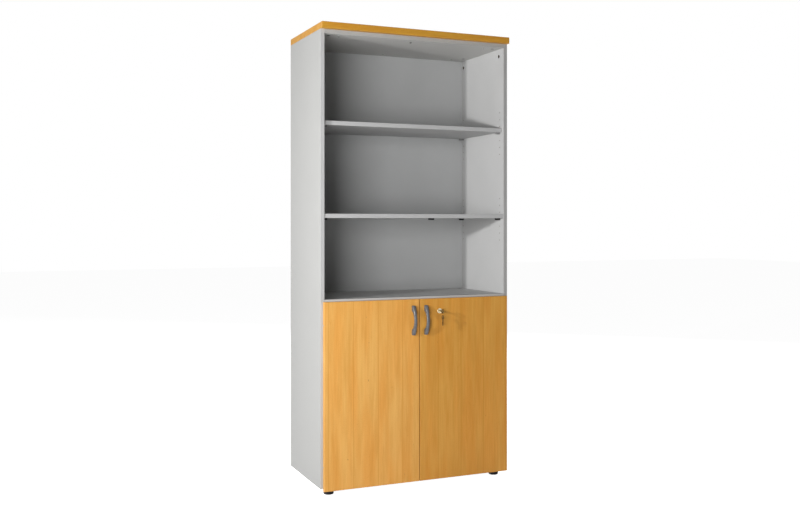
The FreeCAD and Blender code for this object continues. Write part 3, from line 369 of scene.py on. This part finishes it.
def beech_material(name, board, along, thin, start, pale, deep):
    """Beech decor on one board with its grain along one axis, its band seams and its worn arrises."""
    material, tree, place = new_material(name, {"Specular IOR Level": 0.3})
    decor = effect(tree, beech_decor, {"Grain place": grain_place(tree, place, along, thin, start),
                                       "Pale": pale, "Deep": deep})
    edges = edges_of(tree, place, board, thin, 1.0)
    raw_wood = effect(tree, chipboard, {"Place": place})
    chips = between(tree, noise(tree, place, 240.0, 4.0), 0.50, 0.68)
    worn = calc(tree, "MULTIPLY", edges["Arris"], chips)
    colour = mixed(tree, calc(tree, "MULTIPLY", worn, 0.30), decor["Color"], worn_beech)
    colour = mixed(tree, calc(tree, "MULTIPLY", edges["Seam"], 0.55), colour, dark_seam)
    finish_board(material, edges, raw_wood, raw_wood["Color"], colour, decor["Roughness"],
                 calc(tree, "MULTIPLY", decor["Height"], 0.20))
    return material


dress(beech_material("beech_decor_cover", "top_cover", along="X", thin="Z", start=7.3,
                     pale=(0.545, 0.272, 0.028, 1.0), deep=(0.455, 0.206, 0.017, 1.0)), "top_cover")


# ---- Doors -----------------------------------------------------------------
# Two lay-on doors of the same decor with the grain upright, banded with beech on all four edges and
# drilled for the hinge cups, the handles and, on the right, the lock.
# Painted shade: the right door's decor colours are painted darker than the left door's, standing for the
# light falling off towards the right.
for door, start, pale, deep in (
        ("door_left", 3.109, (0.71, 0.370, 0.092, 1.0), (0.60, 0.280, 0.051, 1.0)),
        ("door_right", 5.648, (0.605, 0.295, 0.052, 1.0), (0.51, 0.224, 0.029, 1.0))):
    dress(beech_material("beech_decor_" + door, door, "Z", "Y", start, pale, deep), door)


# ---- Wooden dowels ---------------------------------------------------------
# Fluted beech dowels, glued into bores in the panels' ends. They keep the carcass square while the
# cams pull it together.
dark_fibre, pale_fibre = (0.52, 0.33, 0.17, 1.0), (0.72, 0.52, 0.31, 1.0)
material, tree, place = new_material("dowel_wood", {})
fibres = noise(tree, vector_calc(tree, "MULTIPLY", place, (60.0, 1400.0, 1400.0)), 1.0)
colour = mixed(tree, fibres, dark_fibre, pale_fibre)
finish_material(material, colour, between(tree, fibres, 0.2, 0.8, 0.6, 0.75), fibres, depth=0.0002)
dress(material, "dowels")


# ---- Steel fittings --------------------------------------------------------
# Screws, cam bolts, keepers, the slide bolt and the lock's cam: turned or pressed steel with a thin
# bright zinc plating that dulls in patches. The cam housings are cast in zinc.
worked_metal, given = new_group(
    "Worked metal", {"Place": "Vector", "Tone": "Color", "Dull": "Color", "Smooth": "Float"},
    {"Color": "Color", "Roughness": "Float", "Height": "Float"})
patches = noise(worked_metal, given["Place"], 90.0, 4.0)
drawn_out = vector_calc(worked_metal, "MULTIPLY", given["Place"], (2600.0, 2600.0, 160.0))
scratches = noise(worked_metal, drawn_out, 1.0, 2.0)
pits = noise(worked_metal, given["Place"], 2400.0, 2.0)
dulled = between(worked_metal, patches, 0.42, 0.66)
rough = calc(worked_metal, "ADD", given["Smooth"], calc(worked_metal, "MULTIPLY", dulled, 0.12))
close_group(worked_metal, {
    "Color": mixed(worked_metal, dulled, given["Tone"], given["Dull"]),
    "Roughness": calc(worked_metal, "ADD", rough, calc(worked_metal, "MULTIPLY", scratches, 0.10)),
    "Height": calc(worked_metal, "ADD", calc(worked_metal, "MULTIPLY", scratches, 0.5), pits)})


def metal_material(name, tone, dull, smooth, depth, metallic=1.0):
    """Metal with dull patches, fine scratches and small pits; lacquer over it is less metallic."""
    material, tree, place = new_material(name, {"Metallic": metallic, "Specular IOR Level": 0.3})
    metal = effect(tree, worked_metal, {"Place": place, "Tone": tone, "Dull": dull, "Smooth": smooth})
    finish_material(material, metal["Color"], metal["Roughness"], metal["Height"], depth)
    return material


bright_zinc, dull_zinc = (0.60, 0.61, 0.62, 1.0), (0.44, 0.45, 0.46, 1.0)
dress(metal_material("fitting_steel", bright_zinc, dull_zinc, smooth=0.26, depth=0.00004),
      "cam_bolts", "back_screws", "foot_stems", "hinge_arm_screws", "hinge_cup_screws_left",
      "hinge_cup_screws_right", "handle_screws_left", "handle_screws_right", "keeper_screws",
      "bolt_screws", "lock_keeper", "bolt_keeper", "bolt_housing", "door_bolt", "lock_cam",
      "lock_cam_screw")

# The cam housings are given a much darker tone than the plated fittings.
cast_zinc, dark_zinc = (0.13, 0.13, 0.135, 1.0), (0.08, 0.08, 0.085, 1.0)
dress(metal_material("fitting_steel_cast", cast_zinc, dark_zinc, smooth=0.38, depth=0.00005), "cam_housings")

# The cover's screw heads are enamelled grey like the board; the middle one of the front row is
# coloured black.
grey_enamel, dull_enamel = (0.36, 0.36, 0.35, 1.0), (0.29, 0.29, 0.28, 1.0)
black_middle_head = (0.012, 0.012, 0.013, 1.0)
material, tree, place = new_material("fitting_steel_enamelled", {"Metallic": 0.2})
metal = effect(tree, worked_metal, {
    "Place": place, "Tone": grey_enamel, "Dull": dull_enamel, "Smooth": 0.40})
ways = axes(tree, place)
from_middle_front_head = calc(tree, "MAXIMUM", calc(tree, "ABSOLUTE", ways["X"]), ways["Y"])
head_colours = mixed(tree, between(tree, from_middle_front_head, 0.02, 0.03), black_middle_head, metal["Color"])
finish_material(material, head_colours, metal["Roughness"], metal["Height"], depth=0.00004)
dress(material, "cover_screws")


# ---- Hinges ----------------------------------------------------------------
# Four concealed hinges of nickel-plated steel: a pressed cup screwed into the door, an arm with its
# plate screwed to the side panel, and a pin that joins them.
bright_nickel, dull_nickel = (0.66, 0.64, 0.60, 1.0), (0.50, 0.49, 0.46, 1.0)
nickel = metal_material("hinge_nickel", bright_nickel, dull_nickel, smooth=0.18, depth=0.00003)
dress(nickel, *["hinge_" + piece + "_" + side + "_" + end for piece in ("arm", "cup")
                for side in ("left", "right") for end in ("top", "bottom")])
dress(nickel, "hinge_pins_left", "hinge_pins_right")


# ---- Handles ---------------------------------------------------------------
# Two cast bow handles lacquered in satin grey: a strap that rises in one long arc from two wide pads
# and is drawn in to a waist between them. Two screws from behind the door hold each.
handle_from_middle, handle_half_length = 0.030, 0.065
end_corner, end_half_width = 0.005, 0.0033
waist_start, waist_ease, waist_drawn_in = 0.043, 0.012, 0.0032
end_rise, top_rise = 0.008, 0.030
opening_half_length, opening_rise = 0.041, 0.023
outer_easing_percent, inner_easing = 42.0, 0.0010
handle_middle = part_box("handle_left")[0].lerp(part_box("handle_left")[1], 0.5).z
door_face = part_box("door_left")[0].y
satin_grey, satin_dull = (0.125, 0.128, 0.135, 1.0), (0.092, 0.094, 0.100, 1.0)
satin = metal_material("handle_satin", satin_grey, satin_dull, smooth=0.22, depth=0.00003, metallic=0.25)


def pick(kind, wanted):
    """Selects those vertices, edges or faces of the piece in hand that fit, and no others."""
    mesh = bmesh.from_edit_mesh(bpy.context.object.data)
    bpy.context.tool_settings.mesh_select_mode = (kind == "verts", kind == "edges", kind == "faces")
    bpy.ops.mesh.select_all(action="DESELECT")
    for item in getattr(mesh, kind):
        item.select_set(bool(wanted(item)))
    mesh.select_flush_mode()
    bmesh.update_edit_mesh(bpy.context.object.data)


def draw_out(step, centre, width, depth):
    """Pulls the selected face on by a step and resizes it about its new centre."""
    bpy.ops.mesh.extrude_region_move(TRANSFORM_OT_translate={"value": step})
    bpy.ops.transform.resize(value=(width, depth, 1.0), center_override=centre)


def close_piece(name, smooth_angle):
    """Turns the faces outward, smooths the shallow edges and names the finished piece."""
    bpy.ops.mesh.select_all(action="SELECT")
    bpy.ops.mesh.remove_doubles(threshold=0.000001)
    bpy.ops.mesh.normals_make_consistent(inside=False)
    bpy.ops.object.mode_set(mode="OBJECT")
    bpy.ops.object.transform_apply(location=True, rotation=True, scale=True)
    bpy.ops.object.shade_smooth_by_angle(angle=radians(smooth_angle))
    piece = bpy.context.object
    piece.name = name
    return piece


def dress_piece(piece, material, body, slot, *nodes):
    """Gives a finished piece its material, its body and the nodes that it stands for."""
    piece.data.materials.clear()
    piece.data.materials.append(material)
    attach(piece, body)
    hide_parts(*nodes)


def arc_height(half_span, low, high, along):
    """Height of an arc that starts and ends at low and reaches high in its middle."""
    radius = (half_span ** 2 + (high - low) ** 2) / (2 * (high - low))
    return high - radius + sqrt(radius ** 2 - along ** 2)


def handle_outside(along):
    """How far the strap's outer face stands off the door."""
    return arc_height(handle_half_length, end_rise, top_rise, along)


def handle_inside(along):
    """How far the strap's inner face stands off the door, or none where a pad lies on it."""
    if abs(along) >= opening_half_length:
        return 0.0
    return arc_height(opening_half_length, 0.0, opening_rise, along)


def handle_width(along):
    """Wide pads with rounded corners, and a waist between them."""
    into_corner = abs(along) - (handle_half_length - end_corner)
    if into_corner > 0.0:
        return 2 * (end_half_width + sqrt(max(end_corner ** 2 - into_corner ** 2, 0.0)))
    towards_waist = min(max((waist_start - abs(along)) / waist_ease, 0.0), 1.0)
    return 2 * (end_half_width + end_corner) - waist_drawn_in * (0.5 - 0.5 * cos(pi * towards_waist))


def bow_handle(name, across):
    """The strap drawn up section by section from its lower end, then eased along its edges."""
    close = 0.00001
    corner_start = handle_half_length - end_corner
    corner = [corner_start + end_corner * cos(radians(angle)) for angle in range(0, 91, 15)]
    stations = corner + [0.055, 0.050, 0.046, 0.043, 0.041, 0.0402, 0.039, 0.0375, 0.0355, 0.0335,
                         0.031, 0.028, 0.0245, 0.0205, 0.016, 0.011, 0.0055]
    stations = [-station for station in stations] + [0.0] + stations[::-1]
    centre = None
    bpy.ops.object.select_all(action="DESELECT")
    for station in stations:
        width = handle_width(station)
        depth = handle_outside(station) - handle_inside(station)
        middle = door_face - (handle_outside(station) + handle_inside(station)) / 2
        next_centre = Vector((across, middle, handle_middle + station))
        if centre is None:
            bpy.ops.mesh.primitive_plane_add(size=1.0, location=next_centre)
            bpy.ops.object.mode_set(mode="EDIT")
            bpy.ops.transform.resize(value=(width, depth, 1.0), center_override=next_centre)
        else:
            draw_out(next_centre - centre, next_centre, width / last_width, depth / last_depth)
        centre, last_width, last_depth = next_centre, width, depth
    bpy.ops.mesh.select_all(action="SELECT")
    bpy.ops.mesh.normals_make_consistent(inside=False)
    shift = bpy.context.object.location.copy()

    def places_of(edge):
        """Where an edge's two ends are, along the handle and out from the door."""
        ends = [vertex.co + shift for vertex in edge.verts]
        return [(end.z - handle_middle, door_face - end.y) for end in ends]

    def on_outer_edge(edge):
        ends = places_of(edge)
        outer = all(abs(out - handle_outside(along)) < close for along, out in ends)
        end_face = all(abs(abs(along) - handle_half_length) < close for along, out in ends)
        return outer and (end_face or abs(ends[0][0] - ends[1][0]) > close)

    def on_inner_edge(edge):
        ends = places_of(edge)
        inner = all(abs(out - handle_inside(along)) < close for along, out in ends)
        in_opening = all(abs(along) < opening_half_length + 10 * close for along, out in ends)
        return inner and in_opening and abs(ends[0][0] - ends[1][0]) > close

    pick("edges", on_outer_edge)
    bpy.ops.mesh.bevel(offset_type="PERCENT", offset_pct=outer_easing_percent, segments=7,
                       affect="EDGES", clamp_overlap=True)
    pick("edges", on_inner_edge)
    bpy.ops.mesh.bevel(offset=inner_easing, segments=3, affect="EDGES", clamp_overlap=True)
    return close_piece(name, smooth_angle=40.0)


for side, across in (("left", -handle_from_middle), ("right", handle_from_middle)):
    piece = bow_handle("bow_handle_" + side, across)
    dress_piece(piece, satin, "door_" + side, "handle_satin", "handle_" + side)


# ---- Lock and keys ---------------------------------------------------------
# A cam lock in the right door: a nickel-plated housing with a rosette, clamped by a nut, and a plug
# that the key turns. The spare key hangs on a split ring in the key's bow.
lock_bright, lock_dull = (0.74, 0.67, 0.49, 1.0), (0.48, 0.42, 0.29, 1.0)
dress(metal_material("lock_nickel", lock_bright, lock_dull, smooth=0.24, depth=0.00003),
      "lock_housing", "lock_nut", "lock_plug")
key_bright, key_dull = (0.25, 0.185, 0.075, 1.0), (0.12, 0.085, 0.03, 1.0)
key_plate = metal_material("key_steel", key_bright, key_dull, smooth=0.26, depth=0.00004)
bow_radius, bow_hole_radius, bow_hole_back = 0.010, 0.004, 0.0025
key_thickness, shank_half_height, blade_half_height = 0.002, 0.00375, 0.0032
shank_start, shoulder = 0.006, 0.0002
cut_mouth, cut_floor = 0.0012, 0.0003
groove_radius, groove_level, edge_easing = 0.0006, 0.0007, 0.00025


def join_shapes(tool, how):
    """Adds the tool's shape to the piece in hand, or cuts it away."""
    piece = bpy.context.object
    step = piece.modifiers.new("join", "BOOLEAN")
    step.operation = how
    step.object = tool
    step.solver = "EXACT"
    bpy.ops.object.modifier_apply(modifier="join")
    bpy.data.objects.remove(tool)


def key_blade(shank_end, blade_length):
    """A flat bar drawn out along Y from the bow, with its shoulder, its cuts and its tip."""
    half = blade_half_height
    tip = shank_end + blade_length
    sections = [(shank_start, -shank_half_height, shank_half_height),
                (shank_end, -shank_half_height, shank_half_height), (shank_end + shoulder, -half, half)]
    for share, depth in ((0.30, 0.0012), (0.54, 0.0022), (0.78, 0.0012)):
        cut = shank_end + blade_length * share
        sections += [(cut - cut_mouth, -half, half), (cut - cut_floor, depth - half, half),
                     (cut + cut_floor, depth - half, half), (cut + cut_mouth, -half, half)]
    sections += [(tip - 0.002, -0.0024, half), (tip, 0.0002, 0.0010)]
    bpy.ops.object.select_all(action="DESELECT")
    place, low, high = sections[0]
    bpy.ops.mesh.primitive_plane_add(size=1.0, rotation=(pi / 2, 0.0, 0.0), location=(0.0, place, 0.0))
    bpy.ops.object.transform_apply(location=True, rotation=True, scale=True)
    bpy.ops.object.mode_set(mode="EDIT")
    bpy.ops.transform.resize(value=(key_thickness, 1.0, high - low), center_override=(0.0, place, 0.0))
    for next_place, next_low, next_high in sections[1:]:
        lift = (next_low + next_high - low - high) / 2
        bpy.ops.mesh.extrude_region_move(
            TRANSFORM_OT_translate={"value": (0.0, next_place - place, lift)})
        bpy.ops.transform.resize(value=(1.0, 1.0, (next_high - next_low) / (high - low)),
                                 center_override=(0.0, next_place, (next_low + next_high) / 2))
        place, low, high = next_place, next_low, next_high
    return close_piece("blade", smooth_angle=30.0)


def cut_key(name, shank_end, blade_length):
    """A pressed key: a round bow with a hole, a grooved blade with three cuts, and eased edges."""
    tip = shank_end + blade_length
    blade = key_blade(shank_end, blade_length)
    grooves = []
    for face in (-key_thickness / 2, key_thickness / 2):
        bpy.ops.object.select_all(action="DESELECT")
        bpy.ops.mesh.primitive_cylinder_add(
            vertices=6, radius=groove_radius, depth=tip - 0.004, rotation=(pi / 2, 0.0, 0.0),
            location=(face, tip / 2 + shank_start, groove_level))
        bpy.ops.object.transform_apply(location=True, rotation=True, scale=True)
        grooves.append(bpy.context.object)
    bpy.ops.object.select_all(action="DESELECT")
    bpy.ops.mesh.primitive_circle_add(vertices=48, radius=bow_radius, rotation=(0.0, pi / 2, 0.0),
                                      location=(-key_thickness / 2, 0.0, 0.0))
    bpy.ops.object.transform_apply(location=True, rotation=True, scale=True)
    bpy.ops.object.mode_set(mode="EDIT")
    bpy.ops.mesh.select_all(action="DESELECT")
    bpy.ops.mesh.primitive_circle_add(vertices=32, radius=bow_hole_radius, rotation=(0.0, pi / 2, 0.0),
                                      location=(-key_thickness / 2, -bow_hole_back, 0.0))
    bpy.ops.mesh.select_all(action="SELECT")
    bpy.ops.mesh.bridge_edge_loops()
    bpy.ops.mesh.extrude_region_move(TRANSFORM_OT_translate={"value": (key_thickness, 0.0, 0.0)})
    bow = close_piece(name, smooth_angle=30.0)
    join_shapes(blade, "UNION")
    for groove in grooves:
        join_shapes(groove, "DIFFERENCE")
    ease = bow.modifiers.new("ease", "BEVEL")
    ease.width = edge_easing
    ease.segments = 2
    ease.limit_method = "ANGLE"
    ease.angle_limit = radians(40.0)
    bpy.ops.object.modifier_apply(modifier="ease")
    bpy.ops.object.shade_smooth_by_angle(angle=radians(35.0))
    return bow


def place_piece(piece, turn, shift):
    """Turns a piece about X and sets it in place, in its mesh."""
    bpy.ops.object.select_all(action="DESELECT")
    piece.select_set(True)
    bpy.context.view_layer.objects.active = piece
    piece.rotation_euler = (turn, 0.0, 0.0)
    piece.location = shift
    bpy.ops.object.transform_apply(location=True, rotation=True, scale=True)


# The key in the lock: its blade is inside the plug.
lock_blade = 0.018
key_low, key_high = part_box("key")
bow_middle = Vector(((key_low.x + key_high.x) / 2, key_low.y + bow_radius, (key_low.z + key_high.z) / 2))
piece = cut_key("lock_key", key_high.y - bow_middle.y - lock_blade, lock_blade)
place_piece(piece, 0.0, bow_middle)
dress_piece(piece, key_plate, "lock_plug", "key_steel", "key")

# The spare key hangs with its blade down.
spare_shank, spare_blade = 0.016, 0.020
spare_low, spare_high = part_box("spare_key")
piece = cut_key("second_key", spare_shank, spare_blade)
place_piece(piece, -pi / 2, (bow_middle.x, (spare_low.y + spare_high.y) / 2, spare_high.z - bow_radius))
dress_piece(piece, key_plate, "spare_key", "key_steel", "spare_key")

# The split ring: two turns of wire that lean against each other.
ring_radius, wire_radius, turn_tilt, turn_shift = 0.009, 0.00034, 1.5, 0.00027
ring_low, ring_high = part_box("key_ring")
turns = []
for way in (1, -1):
    bpy.ops.object.select_all(action="DESELECT")
    bpy.ops.mesh.primitive_torus_add(
        major_radius=ring_radius, minor_radius=wire_radius, major_segments=96, minor_segments=10,
        rotation=(pi / 2 + radians(turn_tilt * way), 0.0, 0.0),
        location=(ring_low + ring_high) / 2 - Vector((0.0, turn_shift * way, 0.0)))
    bpy.ops.object.transform_apply(location=True, rotation=True, scale=True)
    turns.append(bpy.context.object)
turns[0].select_set(True)
bpy.ops.object.join()
bpy.ops.object.mode_set(mode="EDIT")
piece = close_piece("split_ring", smooth_angle=60.0)
dress_piece(piece, key_plate, "key_ring", "key_steel", "key_ring")


# ---- Black plastic pieces --------------------------------------------------
# The shelf supports and the clip, the sleeves in the bottom and the levelling feet: moulded in nylon
# with a fine spark-eroded skin. All are black, but the upper shelf's supports are painted grey: painted
# light, standing for the lamp falling on them while the lower ones lie in shade.
plastic_black, scuffed_black = (0.009, 0.009, 0.010, 1.0), (0.024, 0.024, 0.025, 1.0)
painted_lit_grey, painted_light_from, painted_light_to = (0.20, 0.20, 0.20, 1.0), 1.30, 1.31
black_plastic, tree, place = new_material("black_plastic", {"Specular IOR Level": 0.15})
skin = noise(tree, place, 2200.0, 2.0)
scuffs = between(tree, noise(tree, place, 120.0, 5.0), 0.56, 0.70)
colour = mixed(tree, scuffs, plastic_black, scuffed_black)
# Painted light: above a set height the plastic is painted grey.
colour = mixed(tree, between(tree, axes(tree, place)["Z"], painted_light_from, painted_light_to), colour, painted_lit_grey)
rough = calc(tree, "ADD", between(tree, skin, 0.3, 0.7, 0.42, 0.56), calc(tree, "MULTIPLY", scuffs, 0.12))
finish_material(black_plastic, colour, rough, skin, depth=0.00008)
dress(black_plastic, "shelf_supports", "shelf_clip", "foot_sleeves")


# ---- Levelling feet --------------------------------------------------------
# Four black feet moulded round their threaded stems: a broad pad with grip grooves round its rim and
# a neck. They are turned up or down from inside the cupboard.
foot_profile = [(0.0190, 0.0), (0.0212, 0.0012), (0.0220, 0.0035), (0.0220, 0.0160), (0.0205, 0.0190),
                (0.0140, 0.0220), (0.0122, 0.0240), (0.0120, 0.0260)]
foot_faces, faces_per_groove = 72, 3
groove_foot, groove_head, groove_rim, groove_depth = 0.004, 0.0155, 0.0004, 0.0008


def levelling_foot(name, across, back):
    """The pad drawn up ring by ring from its underside, with grooves pressed into its rim."""
    bpy.ops.object.select_all(action="DESELECT")
    bpy.ops.mesh.primitive_circle_add(vertices=foot_faces, radius=foot_profile[0][0], fill_type="NGON",
                                      location=(across, back, 0.0))
    bpy.ops.object.transform_apply(location=True, rotation=True, scale=True)
    bpy.ops.object.mode_set(mode="EDIT")
    for (radius, level), (next_radius, next_level) in zip(foot_profile, foot_profile[1:]):
        spread = next_radius / radius
        draw_out((0.0, 0.0, next_level - level), (across, back, next_level), spread, spread)
    bpy.ops.mesh.select_all(action="SELECT")
    bpy.ops.mesh.normals_make_consistent(inside=False)

    def in_groove(face):
        middle = face.calc_center_median() - Vector((across, back, 0.0))
        turn = Vector((middle.x, middle.y)).angle_signed(Vector((1.0, 0.0)))
        number = round(degrees(turn) * foot_faces / 360 - 0.5)
        on_rim = groove_foot < middle.z < groove_head and abs(face.normal.z) < 0.2
        return on_rim and number % faces_per_groove == 0

    pick("faces", in_groove)
    bpy.ops.mesh.inset(thickness=groove_rim, use_individual=True)
    bpy.ops.transform.shrink_fatten(value=-groove_depth)
    return close_piece(name, smooth_angle=35.0)


for corner in ("front_left", "front_right", "rear_left", "rear_right"):
    low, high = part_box("foot_" + corner)
    piece = levelling_foot("levelling_foot_" + corner, (low.x + high.x) / 2, (low.y + high.y) / 2)
    dress_piece(piece, black_plastic, "carcass", "black_plastic", "foot_" + corner)


# ---- Door buffers ----------------------------------------------------------
# Small domed pads of soft clear rubber, stuck to the backs of the doors. They meet the carcass first
# and keep a closing door quiet.
clear_rubber, cloudy_rubber = (0.60, 0.60, 0.56, 1.0), (0.74, 0.74, 0.70, 1.0)
rubber_settings = {"Specular IOR Level": 0.5, "Transmission Weight": 0.35}
material, tree, place = new_material("buffer_rubber", rubber_settings)
skin = noise(tree, place, 1600.0, 2.0)
colour = mixed(tree, skin, clear_rubber, cloudy_rubber)
finish_material(material, colour, between(tree, skin, 0.3, 0.7, 0.30, 0.42), skin, depth=0.00005)
dress(material, "door_buffers_left", "door_buffers_right")


# ---- Floor, light and camera -----------------------------------------------
# A plain pale floor, a small lamp at the left, a broad soft lamp at the front left, another behind at
# the right for the faces turned away, and an even white surround.
white = (1.0, 1.0, 1.0, 1.0)
dark_paint, pale_paint = (0.76, 0.76, 0.76, 1.0), (0.80, 0.80, 0.80, 1.0)
floor_glow, surround_light = 0.95, 0.03


def seen_directly(tree):
    """One where the eye, or a ray that is mirrored or goes through, meets the surface."""
    seen = node(tree, "ShaderNodeLightPath", {}).outputs
    met = calc(tree, "MAXIMUM", seen["Is Camera Ray"], seen["Is Glossy Ray"])
    return calc(tree, "MAXIMUM", met, seen["Is Transmission Ray"])


bpy.ops.object.select_all(action="DESELECT")
bpy.ops.mesh.primitive_plane_add(size=40.0, location=(0.0, 0.0, 0.0))
floor = bpy.context.object
floor.name = "floor"
material = bpy.data.materials.new("pale_floor")
material.use_nodes = True
tree = material.node_tree
tree.nodes.remove(tree.nodes["Principled BSDF"])
place = tree.nodes.new("ShaderNodeTexCoord").outputs["Object"]
paint = mixed(tree, noise(tree, place, 40.0, 4.0), dark_paint, pale_paint)
matt = node(tree, "ShaderNodeBsdfDiffuse", {"Color": paint}).outputs[0]
strength = calc(tree, "MULTIPLY", seen_directly(tree), floor_glow)
glow = node(tree, "ShaderNodeEmission", {"Color": white, "Strength": strength}).outputs[0]
both = node(tree, "ShaderNodeAddShader", {0: matt, 1: glow}).outputs[0]
tree.links.new(both, tree.nodes["Material Output"].inputs["Surface"])
floor.data.materials.append(material)
floor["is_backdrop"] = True

world = bpy.data.worlds.new("white_surround")
bpy.context.scene.world = world
world.use_nodes = True
tree = world.node_tree
added = calc(tree, "MULTIPLY", seen_directly(tree), 1.0 - surround_light)
tree.nodes["Background"].inputs["Color"].default_value = white
tree.links.new(calc(tree, "ADD", surround_light, added), tree.nodes["Background"].inputs["Strength"])


def soft_lamp(name, place, aim, size, power):
    """A square lamp at a place, turned towards another."""
    lamp = bpy.data.lights.new(name, "AREA")
    lamp.size = size
    lamp.energy = power
    holder = bpy.data.objects.new(name, lamp)
    bpy.context.scene.collection.objects.link(holder)
    holder.location = place
    holder.rotation_euler = (Vector(aim) - Vector(place)).to_track_quat("-Z", "Y").to_euler()


soft_lamp("left_lamp", place=(-2.42, -1.03, 1.39), aim=(0.0, 0.0, 1.1), size=0.07, power=48.0)
soft_lamp("front_lamp", place=(-2.9, -3.5, 1.2), aim=(0.0, 0.0, 1.1), size=1.8, power=142.0)
soft_lamp("rear_lamp", place=(2.8, 3.2, 3.2), aim=(0.0, 0.0, 1.2), size=2.6, power=230.0)

camera = bpy.data.cameras.new("camera")
camera.lens = 42.75
camera.sensor_width = 36.0
camera.shift_y = -0.04152
camera.clip_start = 0.05
viewer = bpy.data.objects.new("camera", camera)
bpy.context.scene.collection.objects.link(viewer)
viewer.location = (-1.7386, -3.97665, 1.1567)
viewer.rotation_euler = (radians(90.0), 0.0, radians(-23.54))
bpy.context.scene.camera = viewer
bpy.context.scene.view_settings.view_transform = "Standard"

low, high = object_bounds()
